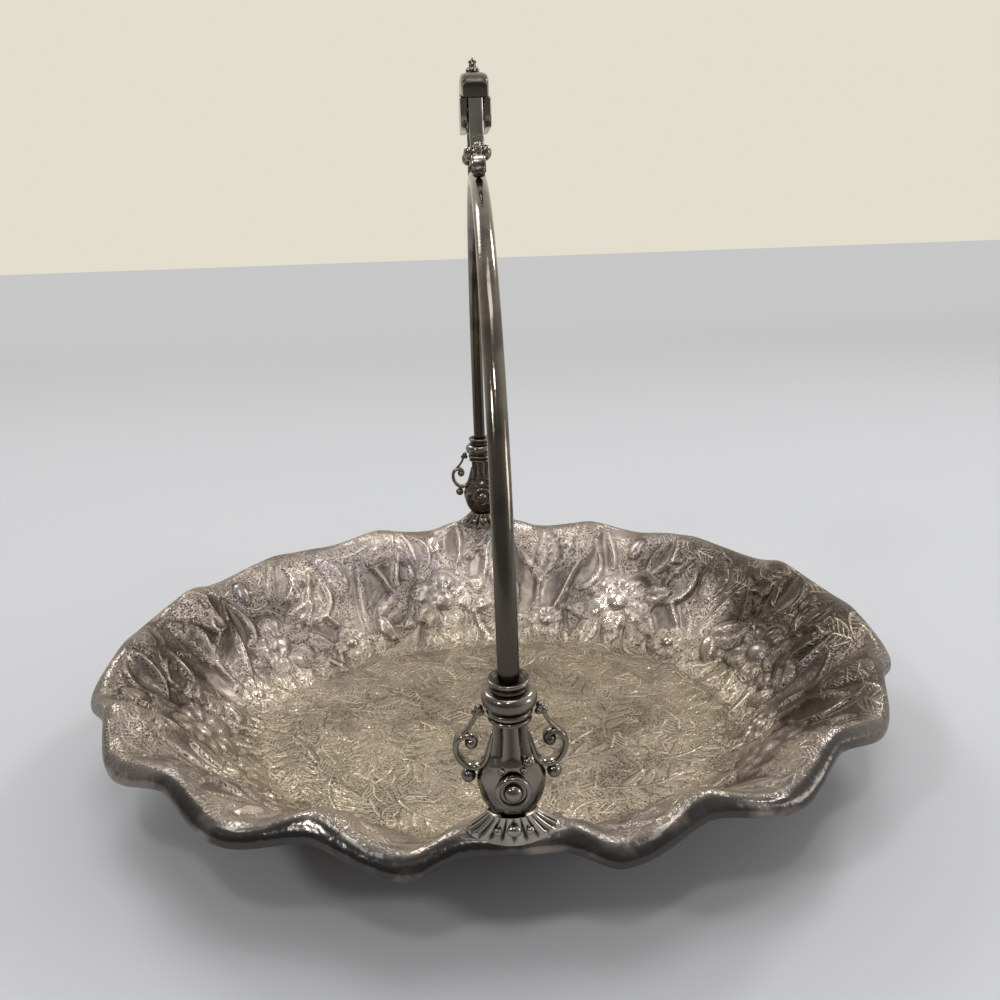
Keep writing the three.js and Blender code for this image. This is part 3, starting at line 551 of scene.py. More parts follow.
def finish_named(name):
    """The basket's material of that name, made when it is first asked for."""
    made = bpy.data.materials.get(name)
    if made:
        return made
    if name == "chased_silver":
        return plate_finish(name)
    finish = settings("finish")
    metal, film_and_shade = {
        # The underside: tarnish, darkened further as painted shade.
        "tarnish_and_shade_plate": (finish.tarnish, {"dark": 0.6}),
        # The feet and straps: the cast metal painted lighter.
        "cast_silver_painted_light": (finish.cast_metal_painted_light, {"dark": 0.45}),
        "drawn_silver": (finish.rod_metal, {"dark": 0.6, "dents": 0.00004, "smoothest": 0.1}),
        "cast_silver": (finish.cast_metal, {}),
    }[name]
    return cast_finish(name, metal, **film_and_shade)


# Dish: lengths in millimetres, how many points its sheets have each way, and the radius at
# which the pattern on the wall is as wide as on the floor

FOOT_HALF_WIDTH = 12.6
LIP_OUT = 5.5
LIP_DROP = 4.5
LIP_TURN = math.radians(102)
LOBES = 16
SEAT_HALF_ANGLE = math.asin(FOOT_HALF_WIDTH / RIM_HALF_LENGTH)
WALL_ROWS = 93
LIP_ROWS = 15
COLUMNS = 912
FLOOR_ROWS = 281
MEAN_RADIUS = 119


def lobe_at(angle):
    """0 at a fold of the rim and 1 in the middle of a lobe, held at 0 where a foot sits."""
    wave = ((1 - np.cos(LOBES * angle)) / 2) ** 0.8
    from_foot = np.arccos(np.minimum(1, np.abs(np.sin(angle))))
    return wave * smooth(SEAT_HALF_ANGLE * 0.75, math.pi / LOBES, from_foot)


def wall_curve(wall):
    """The wall's section, a cubic Bezier curve: how far out and how high it is, as shares of
    the whole, at a share of the way up."""
    first, second, last = 3 * wall * (1 - wall) ** 2, 3 * wall**2 * (1 - wall), wall**3
    return first * 0.3 + second * 0.78 + last, second + last


def dish_points(wall, lip, angle):
    """Points on the dish's upper side. The wall share runs from the floor's edge at 0 to the
    crest at 1 by a soft S, and the lip's angle from the crest over the roll and down. Both are
    carried round a growing ellipse, pushed out and down along its normal in each lobe."""
    dish = settings("dish")
    reach, rise = wall_curve(wall)
    half_length = (dish.floor_length + (dish.rim_length - dish.floor_length) * reach) / MM
    half_width = (dish.floor_width + (dish.rim_width - dish.floor_width) * reach) / MM
    x, y = half_width * np.cos(angle), half_length * np.sin(angle)
    size = np.hypot(x, y)
    lobe = lobe_at(angle) * smooth(0.22, 1, reach)
    push = LIP_OUT * np.sin(lip) + dish.lobe_out / MM * lobe
    sheet = dish.sheet / MM
    height = sheet + (dish.rim_height / MM - sheet) * rise
    height = height - LIP_DROP * (1 - np.cos(lip)) - dish.lobe_drop / MM * lobe
    return coords(half_length * np.cos(angle) + push * x / size,
                  half_width * np.sin(angle) + push * y / size, height)


def normals_of(points):
    """Unit normals of a grid of points whose columns run round, by central differences."""
    along = np.gradient(points, axis=0)
    around = (np.roll(points, -1, axis=1) - np.roll(points, 1, axis=1)) / 2
    normal = np.cross(along, around)
    normal /= np.linalg.norm(normal, axis=-1, keepdims=True)
    return normal * np.where(normal[..., 2:].mean() < 0, -1, 1)


def dish_grid():
    """A grid of points over the wall and the lip, from under the front foot round, with the
    wall share, the lip's angle and the direction of each point."""
    wall = np.concatenate([np.linspace(0, 1, WALL_ROWS), np.ones(LIP_ROWS)])
    lip = np.concatenate([np.zeros(WALL_ROWS), np.linspace(0, LIP_TURN, LIP_ROWS + 1)[1:]])
    angle = TAU * (np.arange(COLUMNS) / COLUMNS - 0.25)
    wall, turn = np.meshgrid(wall, angle, indexing="ij")
    lip = np.repeat(lip[:, None], COLUMNS, axis=1)
    return dish_points(wall, lip, turn), wall, lip, turn


class Chasing:
    """Raised work on a sheet: its height at each point of a grid, about 1 on top and below 0
    where the sheet is sunk, and the strength of the line sunk round it. across and up are the
    points' places on the sheet in millimetres. A sheet that runs round gives its length round,
    and stretch tells how much wider each point's row is than that."""

    def __init__(self, across, up, length_round=None, stretch=1.0):
        self.across, self.up = across, up
        self.length_round, self.stretch = length_round, stretch + 0 * across
        self.height = np.zeros(across.shape)
        self.line = np.zeros(across.shape)

    def near(self, place, reach):
        """The points within reach of a place, and their offsets from it."""
        x = self.across - place[0]
        if self.length_round:
            x = (x + self.length_round / 2) % self.length_round - self.length_round / 2
        x = x * self.stretch
        y = self.up - place[1]
        near = (np.abs(x) < reach) & (np.abs(y) < reach)
        return near, x[near], y[near]

    def lay(self, near, q, height, groove):
        """Lays new work over the old where q is below 1, and sinks a line round it."""
        over = 1 - smooth(0.93, 1.03, q)
        edge = np.exp(-(((q - 1.0 - groove) / groove) ** 2)) * (q < 1 + 4 * groove)
        under = 1 - over
        self.height[near] = self.height[near] * under + height * over - 0.22 * edge * under
        self.line[near] = np.maximum(self.line[near] * under, edge * under)

    def leaf_place(self, place, heading, size, width, bend):
        """The points near a leaf, their share of the way along it, and their distance from its
        midrib as a share of its half width, which is a sine of the way along."""
        near, x, y = self.near(place, size * 1.2)
        along = (x * math.cos(heading) + y * math.sin(heading)) / size
        aside = (y * math.cos(heading) - x * math.sin(heading)) / size
        aside = aside - bend * 4 * along * (1 - along)
        way = np.clip(along, 0, 1)
        half = np.maximum(width / size * np.sin(math.pi * way**0.8) ** 0.85, 1e-3)
        return near, way, np.where((along > 0) & (along < 1), aside / half, 9)

    def leaf(self, place, heading, size, width, bend=0.0, veins=5, top=1.0):
        """A raised pointed leaf, bent to one side by a parabola, folded in along its midrib
        and rippled by slanting veins."""
        near, way, q = self.leaf_place(place, heading, size, width, bend)
        q = np.abs(q)
        fold = 0.25 + 0.75 * smooth(0, 0.38, q)
        ripple = 1 - 0.3 * (0.5 + 0.5 * np.cos(TAU * (veins * way - q * 0.8)))
        height = np.sqrt(np.clip(1 - q, 0, 1)) * fold * ripple * (0.6 + 0.4 * way)
        self.lay(near, q, top * height, 0.14)

    def shell(self, place, heading, size, width, bend=0.0, top=1.0):
        """A hollow curled leaf: sunk along its middle, with one edge rolled high over."""
        near, way, q = self.leaf_place(place, heading, size, width, bend)
        roll = np.exp(-(((np.abs(q) - 0.82) / 0.2) ** 2)) * (0.75 + 0.25 * np.sign(q))
        sink = -0.55 * np.clip(1 - q * q, 0, 1) * np.sin(math.pi * way)
        height = sink + 1.1 * roll * np.sin(math.pi * way) ** 0.5
        self.lay(near, np.abs(q), top * height, 0.12)

    def flower(self, place, radius, petals=5, turn=0.0, top=1.0, heart=0.29):
        """A flower: petals that swell past a scalloped ring, parted by creases, round a dome."""
        near, x, y = self.near(place, radius * 1.3)
        r = np.hypot(x, y) / radius
        wave = np.abs(np.cos(petals / 2 * (np.arctan2(y, x) + turn)))
        q = r / (0.66 + 0.34 * wave**0.6)
        petal = np.sqrt(np.clip(1 - q**2, 0, 1)) * (0.15 + 0.85 * smooth(0, 0.5, wave))
        petal = petal * (0.3 + 0.7 * smooth(heart, 0.65, r)) * (1 - 0.45 * smooth(0.8, 1, wave))
        dome = np.sqrt(np.clip(1 - (r / heart) ** 2, 0, 1))
        self.lay(near, q, top * np.where(r < heart + 0.03, 1.15 * dome, 0.9 * petal), 0.08)

    def bud(self, place, heading, size, width, top=1.0):
        """A bud: an oval dome with a seam along its middle."""
        near, x, y = self.near(place, size * 1.5)
        along = (x * math.cos(heading) + y * math.sin(heading)) / size
        aside = (y * math.cos(heading) - x * math.sin(heading)) / width
        q = np.hypot(along, aside)
        seam = 0.7 + 0.3 * smooth(0, 0.25, np.abs(aside + 0.2 * along))
        self.lay(near, q, top * np.sqrt(np.clip(1 - q**2, 0, 1)) * seam, 0.1)

    def tendril(self, stops, half_width, top=0.6):
        """A thin raised stroke along a curve through a few places, narrowing to its end."""
        stops = np.asarray(stops, float)
        middle, reach = stops.mean(0), np.ptp(stops, axis=0).max() * 0.75 + 2
        near, x, y = self.near(middle, reach + 4 * half_width)
        path = spline(stops - middle, 48)
        gap = np.hypot(x[:, None] - path[:, 0], y[:, None] - path[:, 1])
        gap = gap / (half_width * np.linspace(1, 0.45, 48))
        q = gap.min(axis=1) if len(gap) else np.zeros(0)
        self.lay(near, q, top * np.sqrt(np.clip(1 - q**2, 0, 1)), 0.25)

    def curl(self, place, heading, size, hand, half_width=1.0, top=0.6):
        """A tendril that rolls up: its heading turns with the square of the way along."""
        way = np.linspace(0, 1, 25)
        turn = heading + hand * (0.5 * way + 5.5 * way**2)
        step = size / 24 * coords(np.cos(turn), np.sin(turn))
        step = step * (1 - 0.5 * way)[:, None]
        self.tendril((np.asarray(place) + np.cumsum(step, axis=0))[::3], half_width, top)

    def spray(self, start, heading, size, curl, pairs, leaf_size, top=1.0):
        """A feathery spray: leaflets in pairs along a curved stalk, shorter towards its tip."""
        way = np.linspace(0, 1, 7)
        turn = heading + curl * way
        step = size / 6 * coords(np.cos(turn), np.sin(turn))
        stalk = np.asarray(start) + np.concatenate([[[0, 0]], np.cumsum(step[:-1], axis=0)])
        for index in range(pairs):
            t = 0.1 + 0.86 * index / (pairs - 1)
            place = [np.interp(t, way, stalk[:, axis]) for axis in (0, 1)]
            lean = heading + curl * t
            long = leaf_size * (1.05 - 0.65 * t)
            for side in (-1, 1):
                self.leaf(place, lean + side * (0.85 - 0.35 * t), long, long * 0.16,
                          side * -0.1, 3, top)
        self.leaf(stalk[-1], heading + curl, leaf_size * 0.6, leaf_size * 0.12, 0, 3, top)
        self.tendril(stalk, 0.75, 0.75 * top)


def row_lengths(points):
    """How far round its row each point of a closed grid is, and the rows' lengths."""
    step = np.linalg.norm(np.roll(points, -1, axis=1) - points, axis=-1)
    return np.cumsum(step, axis=1) - step, step.sum(axis=1)


def wall_chasing(points):
    """The wall's work: lobe by lobe a flower in leaves or a fan of long leaves, with buds and
    tendrils up the folds between them."""
    across, lengths = row_lengths(points)
    middle = len(points) // 2
    up = np.linalg.norm(np.diff(points, axis=0), axis=-1).mean(axis=1)
    up = np.concatenate([[0], np.cumsum(up)])[:, None] + 0 * across
    stretch = (lengths / lengths[middle])[:, None]
    work = Chasing(across[middle][None] + 0 * across, up, lengths[middle], stretch)
    dice = np.random.default_rng(7)
    for lobe in range(LOBES):
        x0 = across[middle][int((lobe + 0.5) * COLUMNS / LOBES)]
        flip = 1 if lobe % 4 < 2 else -1

        def at(x, y, x0=x0, flip=flip):
            """A place in the lobe, up to a millimetre astray each way."""
            return (x0 + flip * x + dice.uniform(-1, 1), y + dice.uniform(-1, 1))

        def toward(degrees, flip=flip):
            """A heading in the lobe, up to eight degrees astray."""
            turn = math.radians(degrees + dice.uniform(-8, 8))
            return turn if flip > 0 else math.pi - turn

        for side in (-1, 1):
            work.tendril([at(side * 22, 4), at(side * 17, 20), at(side * 21, 40),
                          at(side * 19, 66)], 1.7, 0.6)
            work.shell(at(side * 19, 30), toward(90 - side * 22), 32, 7.0, side * 0.14, 0.9)
            work.leaf(at(side * 15, 2), toward(90 + side * 24), 25, 5.6, side * 0.14, 5, 0.8)
            work.curl(at(side * 15, 47), toward(90 - side * 30), 24, -side)
        if lobe % 2 == 0:
            work.shell(at(-8, 42), toward(106), 28, 7.2, -0.12)
            work.shell(at(8, 43), toward(72), 27, 6.6, 0.14)
            for degrees in (-165, -95, -30, 22, 158):
                turn = math.radians(degrees)
                place = at(10 * math.cos(turn), 28 + 10 * math.sin(turn))
                work.leaf(place, toward(degrees), dice.uniform(14, 19), 5.0,
                          dice.uniform(-0.15, 0.15), 4, 0.85)
            work.flower(at(0, 27), 15.0, 5, dice.uniform(0, TAU), 1.0, 0.34)
            work.bud(at(0, 57), toward(80), 5.8, 3.4, 0.8)
        else:
            work.shell(at(-5, 12), toward(100), 46, 9.2, 0.12)
            work.leaf(at(-10, 22), toward(134), 24, 6.2, 0.12, 5, 0.9)
            work.shell(at(7, 16), toward(62), 38, 8.2, -0.16)
            work.leaf(at(3, 36), toward(86), 29, 6.0, 0.1, 6, 0.9)
            work.flower(at(9, 14), 9.0, 5, dice.uniform(0, TAU), 0.95, 0.36)
            work.leaf(at(-6, 2), toward(150), 20, 5.0, 0.15, 4, 0.8)
            work.bud(at(-14, 17), toward(70), 6.6, 3.9)
            work.curl(at(6, 52), toward(60), 26, 1)
    return work


def wall_surface():
    """The chased wall with its rolled lip: the work worn soft by averages over neighbouring
    points, on slow swells that are sines round and up the wall."""
    dish = settings("dish")
    points, wall, lip, turn = dish_grid()
    work = wall_chasing(points)
    height = work.height
    height = (2 * height + np.roll(height, 1, axis=1) + np.roll(height, -1, axis=1)) / 4
    height[1:-1] = (2 * height[1:-1] + height[2:] + height[:-2]) / 4
    bend = np.degrees(lip)
    kept = (1 - smooth(20, 60, bend)) * (0.3 + 0.7 * smooth(0, 0.16, wall))
    kept = kept * (1 - 0.4 * smooth(0.86, 0.98, wall))
    swell = np.sin(1.5 * LOBES * turn + 5 * wall) + 0.7 * np.sin(11 * turn - 9 * wall)
    swell = swell * smooth(0.1, 0.5, wall) * (1 - smooth(10, 50, bend))
    raised = (kept * height + 0.28 * swell) * dish.relief / MM
    rings = points + normals_of(points) * raised[..., None]
    surface = Surface(rings.reshape(-1, 3), [net(*wall.shape)[:, ::-1]])
    plan = coords(MEAN_RADIUS * MM * turn, work.up * MM, 0)
    # Where polish is high the plate takes the rim colour, painted dark for the reflections on the
    # roll.
    polish = 0.6 * smooth(0.84, 0.98, wall) + 0.4 * smooth(0, 30, bend)
    polish = polish * (0.4 + 0.6 * smooth(0.3, 0.75, abs(np.sin(turn))))
    marks = {"relief": (kept * (height - 0.6 * work.line) + 0.12 * swell).ravel(),
             "polish": polish.ravel(), "plan": plan.reshape(-1, 3)}
    return surface, marks, rings


def underside(rings):
    """The underside, where the wall's work shows in reverse: every second row and column of
    the upper side one sheet lower, closed by the flat bottom and, at the lip, by its edge."""
    coarse = rings[::2, ::2]
    lower = coarse - normals_of(coarse) * (settings("dish").sheet / MM)
    lower[0, :, 2] = 0
    bottom = lower[:1] * np.array([0.01, 0.35, 0.7])[:, None, None]
    return loft(np.concatenate([bottom, lower, rings[-1:, ::2]]), closed=False)


def floor_place(turn, out):
    """The place on the floor in a direction, at a share of the way out to its edge."""
    return np.array([FLOOR_HALF_LENGTH * out * math.cos(turn),
                     FLOOR_HALF_WIDTH * out * math.sin(turn)])


def floor_chasing(x, y):
    """The floor's work: curved sprays laid out in rings round a rosette, with small flowers,
    loose tendrils and patches of short parallel strokes between them."""
    work = Chasing(x, y)
    dice = np.random.default_rng(11)
    rounds = ((6, 0.2, 38, 1.3, 0.9), (9, 0.5, 44, -1.5, 2.0), (13, 0.8, 40, 1.4, 0.9))
    for number, (count, out, size, curl, lean) in enumerate(rounds):
        for index in range(count):
            turn = TAU * (index + 0.4 * number + dice.uniform(-0.12, 0.12)) / count
            heading = turn + lean + dice.uniform(-0.3, 0.3)
            work.spray(floor_place(turn, out), heading, size * dice.uniform(0.85, 1.15), curl,
                       7, 15, 0.85)
    for index in range(18):
        turn = TAU * index / 18 + dice.uniform(-0.1, 0.1)
        place = floor_place(turn, (0.38, 0.68, 0.93)[index % 3])
        work.flower(place, dice.uniform(3.6, 5.2), 5, dice.uniform(0, TAU), 0.9)
        ahead = 22 * np.array([math.cos(turn + 1.8), math.sin(turn + 1.8)])
        reach = dice.uniform(-1, 1, (5, 2)) * 4 + np.linspace(0, 1, 5)[:, None] * ahead
        work.tendril(place + reach, 0.6, 0.7)
    for turn, out in ((0.6, 0.6), (2.5, 0.75), (3.7, 0.55), (5.3, 0.7)):
        for stroke in range(9):
            start = floor_place(turn, out) + [1.5 * stroke - 6, 0.35 * stroke]
            work.tendril([start, start + [0.4, 3], start + [0.2, 6]], 0.5, 0.6)
    work.flower((0, 0), 10, 8, 0.2)
    return work


def floor_surface():
    """The dish's floor: a square grid bent to an ellipse, x times the root of one less half of
    y squared and the same for y, so that no point is a pole."""
    dish = settings("dish")
    line = np.linspace(-1, 1, FLOOR_ROWS)
    u, v = np.meshgrid(line, line, indexing="xy")
    x = dish.floor_length / MM * u * np.sqrt(1 - v**2 / 2)
    y = dish.floor_width / MM * v * np.sqrt(1 - u**2 / 2)
    work = floor_chasing(x, y)
    edge = 1 - smooth(0.96, 1.0, np.hypot(x / x.max(), y / y.max()))
    relief = edge * work.height
    points = coords(x, y, (dish.sheet + relief * dish.engraving) / MM)
    surface = Surface(points.reshape(-1, 3), [net(*x.shape, around=False)])
    marks = {"relief": (edge * (work.height - 0.6 * work.line)).ravel(),
             "polish": 0 * relief.ravel(), "plan": points.reshape(-1, 3) * MM}
    return surface, marks


class BASKET_OT_dish(bpy.types.Operator):
    """Builds the ruffled dish: its chased floor and wall, and its plain underside"""

    bl_idname = "basket.dish"
    bl_label = "Dish"

    def execute(self, context):
        """Makes the three surfaces that stand for the dish."""
        floor, floor_marks = floor_surface()
        wall, wall_marks, rings = wall_surface()
        for name, surface, finish, marks in (
                ("dish_floor", floor, "chased_silver", floor_marks),
                ("dish_wall", wall, "chased_silver", wall_marks),
                # The underside takes tarnish darkened further as painted shade.
                ("dish_underside", underside(rings), "tarnish_and_shade_plate", None)):
            piece(name, surface, finish, "basket", "dish", marks)
        return {"FINISHED"}


# Feet: heights count from the rim's crest

FOOT_HALF_DEPTH = 5.0
NECK_HALF_WIDTH = 6.7
NECK_HALF_DEPTH = 4.2
SKIRT_HEIGHT = 5.3
CUP_RADIUS = 12.5
CUP_HALF_DEPTH = 6.3
PIVOT_HEIGHT = PIVOT_Z - SEAT_Z


def rim_below(outward):
    """The rim's height above the seat, by distance past the crest: down the roll outside and
    down the wall inside."""
    roll = -LIP_DROP * (1 - np.sqrt(np.clip(1 - (outward / LIP_OUT) ** 2, 0, 1)))
    reach, rise = wall_curve(np.linspace(0.4, 1, 200))
    inward = 1 + outward / (POST_Y - FLOOR_HALF_WIDTH)
    inside = (SEAT_Z - SHEET) * (np.interp(inward, reach, rise) - 1)
    return np.where(outward > 0, roll, inside)


def skirt():
    """The fluted shell skirt and how hollow each of its points lies, which darkens the flutes as
    painted shade: an ellipse that narrows upward by a power of the height, its radius scalloped,
    its foot laid on the rim and its top sunk to an ellipsoid that clears the urn's bottom."""
    sides, steps, ribs = 240, 22, 22
    depth, edge = 0.13, 0.9
    t = np.linspace(0, 1, steps)[:, None]
    angle = (TAU * np.arange(sides) / sides)[None]
    spread = (1 - t) ** 1.35
    flute = depth * (1 - t * 0.55) * (1 - np.abs(np.cos(ribs / 2 * angle)) ** 0.7)
    fan = 1 - flute * smooth(0, 0.1, t)
    half_width = NECK_HALF_WIDTH + (FOOT_HALF_WIDTH - NECK_HALF_WIDTH) * spread
    half_depth = NECK_HALF_DEPTH + (FOOT_HALF_DEPTH - NECK_HALF_DEPTH) * spread
    x = half_width * fan * np.cos(angle)
    y = half_depth * fan * np.sin(angle)
    outward = POST_Y * (1 - np.sqrt(1 - (x / RIM_HALF_LENGTH) ** 2)) - y
    low = rim_below(outward) - 0.1
    z = np.where(t == 0, low, low + edge + (SKIRT_HEIGHT - edge - low) * t)
    core = np.linspace(1, 0, 8)[1:, None]
    x = np.concatenate([x, x[-1:] * core])
    y = np.concatenate([y, y[-1:] * core])
    z = np.concatenate([z, z[-1:] + 0 * core])
    reach = CUP_RADIUS**2 * (1 - (y / CUP_HALF_DEPTH) ** 2) - x**2
    cup = PIVOT_HEIGHT - np.sqrt(np.maximum(reach, 0))
    z = np.where(reach > 0, np.minimum(z, cup), z)
    # How deep each point lies in a flute, which darkens the flutes as painted shade.
    hollow = np.concatenate([(1 - fan) / (depth / 2), np.zeros((len(core), sides))])
    return loft(coords(x, y, z)), hollow.ravel().clip(0, 1)


def flat_plate(outline, thickness, bevel=0.3):
    """A flat outline with a rounded edge, standing in the X-Z plane and thick along Y."""
    outline = np.asarray(outline, float)
    middle = outline.mean(0)
    reach = np.linalg.norm(outline - middle, axis=1).mean()
    turn = np.linspace(0, math.pi / 2, 5)
    inset = np.concatenate([bevel * (1 - np.sin(turn)), bevel * (1 - np.cos(turn))])
    depth = np.concatenate([-thickness / 2 + bevel * (1 - np.cos(turn)),
                            thickness / 2 - bevel * (1 - np.sin(turn))])
    size = (1 - inset / reach)[:, None, None]
    flat = middle + (outline - middle) * size
    return loft(coords(flat[..., 0], -depth[:, None], flat[..., 1]))


def tongue():
    """The flat tongue that carries the pivot: straight sides under a half circle."""
    half, bottom, thickness = 3.2, 1.2, 3.0
    angle = np.linspace(0, math.pi, 17)
    top = coords(half * np.cos(angle), PIVOT_HEIGHT + half * np.sin(angle))
    return flat_plate(np.concatenate([top, [[-half, bottom], [half, bottom]]]), thickness, 0.15)


def foot_surface():
    """Skirt, tongue, and the small scrolled cartouche on both faces, and how hollow each point
    lies, for painted shade in the flutes."""
    front = joined(ball(1.7, 0, -4.95, 2.0, (1.2, 0.75, 1.0)),
                   *[ball(1.1, x, -4.8, 1.8, (1, 0.8, 1)) for x in (-4.3, 4.3)])
    shell, hollow = skirt()
    whole = joined(shell, tongue(), front, front.turned(180))
    return whole, {"hollow": np.pad(hollow, (0, len(whole.points) - len(hollow)))}


class BASKET_OT_feet(bpy.types.Operator):
    """Builds the two fluted feet that stand on the rim"""

    bl_idname = "basket.feet"
    bl_label = "Feet"

    def execute(self, context):
        """Makes one foot and its twin, turned to face outward."""
        surface, marks = foot_surface()
        for end, turn in TURNS:
            placed = surface.moved(0, -POST_Y, SEAT_Z).turned(turn)
            # The feet take the cast metal painted lighter.
            crease(piece(f"foot_shell_{end}", placed, "cast_silver_painted_light", "basket",
                         f"foot_{end}", marks), 55)
        return {"FINISHED"}


# Urns: heights count from the pivot, and half widths are those of the bulb and of the neck

URN_BOTTOM = 12.2
URN_SHOULDER = 6.4
URN_TOP = 18.7
URN_ACROSS = (9.1, 4.8)
URN_DEEP = (6.0, 3.9)
FACE_DEPTH = 6.3
SWING = math.radians(54)


def urn_width(height, bulb, neck):
    """Half width at a height from the pivot, with that of its bulb and its neck given: a half
    ellipse below, a soft S over the shoulder, and a neck that flares a little towards it."""
    low = bulb * np.sqrt(np.clip(1 - (height / URN_BOTTOM) ** 2, 0, 1))
    flared = neck + 1.1 * (1 - smooth(URN_SHOULDER * 0.8, URN_TOP * 0.75, height))
    high = flared + (bulb - flared) * (1 - smooth(0, 1.3 * URN_SHOULDER, height)) ** 0.8
    return np.where(height <= 0, low, high)


def urn_body():
    """The oval urn, its neck hollowed by eight flutes that end round at the shoulder."""
    sides = 128
    low = -URN_BOTTOM * np.cos(np.linspace(math.radians(4), math.pi / 2, 22))
    mid = URN_SHOULDER * np.sin(np.linspace(0, math.pi / 2, 16))[1:]
    high = np.linspace(URN_SHOULDER, URN_TOP, 30)[1:]
    height = np.concatenate([low, mid, high])[:, None]
    angle = (TAU * np.arange(sides) / sides)[None]
    depth = 0.17 * smooth(URN_SHOULDER * 0.9, URN_SHOULDER * 1.25, height)
    depth = depth * (1 - smooth(URN_TOP * 0.9, URN_TOP * 0.97, height))
    groove = (0.5 + 0.5 * np.cos(8 * (angle - math.pi / 2))) ** 0.55
    fan = 1 - depth * groove
    x = urn_width(height, *URN_ACROSS) * fan * np.cos(angle)
    y = urn_width(height, *URN_DEEP) * fan * np.sin(angle)
    return loft(coords(x, y, height))


def urn_slot():
    """The slot for the tongue: a flat fan, open below over the whole swing and round on top.
    The middles of its two faces are set low, where they see every corner of the outline."""
    reach, clear, half_depth = 21.3, 3.8, 1.8
    angle = np.linspace(SWING, math.pi - SWING, 15)
    arc = clear * coords(np.cos(angle), np.sin(angle))
    side = np.array([math.sin(SWING), -math.cos(SWING)]) * reach
    outline = np.concatenate([
        [[-reach, -reach], [reach, -reach]], arc[:1] + side, arc, arc[-1:] + side * [-1, 1],
    ])
    surface = loft(np.stack([np.insert(outline, 1, y, axis=1) for y in (half_depth, -half_depth)]))
    surface.points[-2:, [0, 2]] = [0, -8]
    return surface


class BASKET_OT_urns(bpy.types.Operator):
    """Builds the two urns that swing on the feet"""

    bl_idname = "basket.urns"
    bl_label = "Urns"

    def execute(self, context):
        """Makes an urn with its face discs and beads, then cuts the tongue's slot."""
        turn = np.linspace(0, math.pi / 2, 7)
        face = coords(3.8 + 0.9 * np.sin(turn), FACE_DEPTH - 1.2 * (1 - np.cos(turn)))
        disc = ring([*(face * [1, -1]), *face[::-1]], 64, "Y")
        beads = joined(*[ball(1.4, x, -4.3, 6.9) for x in (-4.0, 4.0)],
                       *[ball(0.9, x, -5.4, 5.0) for x in (-2.9, 2.9)])
        base = ring(bulge(-0.3, 1.1, 4.9, 5.75, 8), 64).moved(0, 0, URN_TOP - 1.1)
        whole = joined(urn_body(), disc, base, beads, beads.turned(180))
        for end, post in POSTS:
            made = casting(f"urn_body_{end}", whole, f"urn_{end}")
            cut(made, urn_slot())
            # Painted shade down the flutes of the neck.
            mark_painted_shade(made, lambda x, y, z: (z > URN_SHOULDER * 0.8) * 4.5 * (
                1 - np.hypot(x / urn_width(z, *URN_ACROSS), y / urn_width(z, *URN_DEEP))))
            made.data.transform(Matrix.Translation((0, post * MM, PIVOT_Z * MM)))
            crease(made, 45)
        return {"FINISHED"}


class BASKET_OT_medallions(bpy.types.Operator):
    """Builds the rosettes and the domed pivot rivets on the urns' faces"""

    bl_idname = "basket.medallions"
    bl_label = "Rosettes and rivets"

    def execute(self, context):
        """Turns each rosette and rivet about the pivot's line."""
        rib = bulge(-4.7, -3.3, 0, 0.75, 16)
        ribbed = [[-radius, 0.7 + rise] for rise, radius in rib]
        disc = ring([[1.8, 0], [4.7, 0], *ribbed, [1.8, 0.62]], 64).turned(90, "X")
        disc = disc.moved(0, -FACE_DEPTH - SEAM)
        angle = np.linspace(0, math.pi / 2, 12)
        dome = coords(2.5 * np.cos(angle[:-1]), 7.4 + 2.1 * np.sin(angle[:-1]))
        rivet = ring([*(dome[::-1] * [1, -1]), [1.5, -7.6], [1.5, 7.6], *dome], 48, "Y")
        for (end, post), (_, facing) in zip(POSTS, TURNS):
            for side, turn in (("outer", facing), ("inner", facing + 180)):
                placed = disc.turned(turn).moved(0, post, PIVOT_Z)
                made = casting(f"rosette_ring_{end}_{side}", placed, f"rosette_{end}_{side}")
                # Painted shade in the groove round the rivet's dome.
                mark_painted_shade(made, lambda x, y, z: smooth(3.3, 2.9, np.hypot(x, z - PIVOT_Z)))
                crease(made)
            crease(casting(f"rivet_{end}", rivet.moved(0, post, PIVOT_Z), f"pivot_rivet_{end}"))
        return {"FINISHED"}


# Scrolls beside the urns


def scroll_surface():
    """The ribbon, which rolls out of its eye, round the outside and up into the urn's neck, the
    strap that leaves it for the collar, a bud of three lobes there and the bead below."""
    path = spline([
        [9.3, 0, 10.4], [9.0, 0, 11.4], [9.6, 0, 12.6], [11.0, 0, 13.3], [12.7, 0, 12.9],
        [13.9, 0, 11.4], [14.2, 0, 9.2], [13.6, 0, 6.9], [12.1, 0, 4.9], [10.0, 0, 3.9],
        [7.9, 0, 4.4], [6.4, 0, 6.2], [5.6, 0, 8.6], [5.0, 0, 11.2], [4.4, 0, 13.6],
    ], 110)
    way = np.linspace(0, 1, len(path))
    grown = 0.7 + 0.3 * smooth(0, 0.16, way) - 0.35 * smooth(0.8, 1, way)
    spur = np.array([7.95, 0, URN_TOP + SEAM + 1.4])
    strap = spline([spur, [9.0, 0, 18.0], [10.6, 0, 15.4], [12.3, 0, 13.6], [13.3, 0, 12.3]], 40)
    return joined(
        sweep(path, oval(1.8, 0.85, 20, 0.75), (0, 1, 0), grown),
        sweep(strap, oval(1.25, 0.62, 16, 0.8), (0, 1, 0), np.linspace(0.8, 1, 40)),
        ball(1.75, 10.1, 0, 10.9, (1, 1.2, 1)),
        ball(1.15, *(spur + [-0.1, 0, 0.3])),
        *[ball(1.0, *(spur + lobe)) for lobe in ([0.9, -0.3, -0.9], [-0.6, -0.5, -1.1])],
        ball(1.95, 11.2, 0, 1.15),
    )


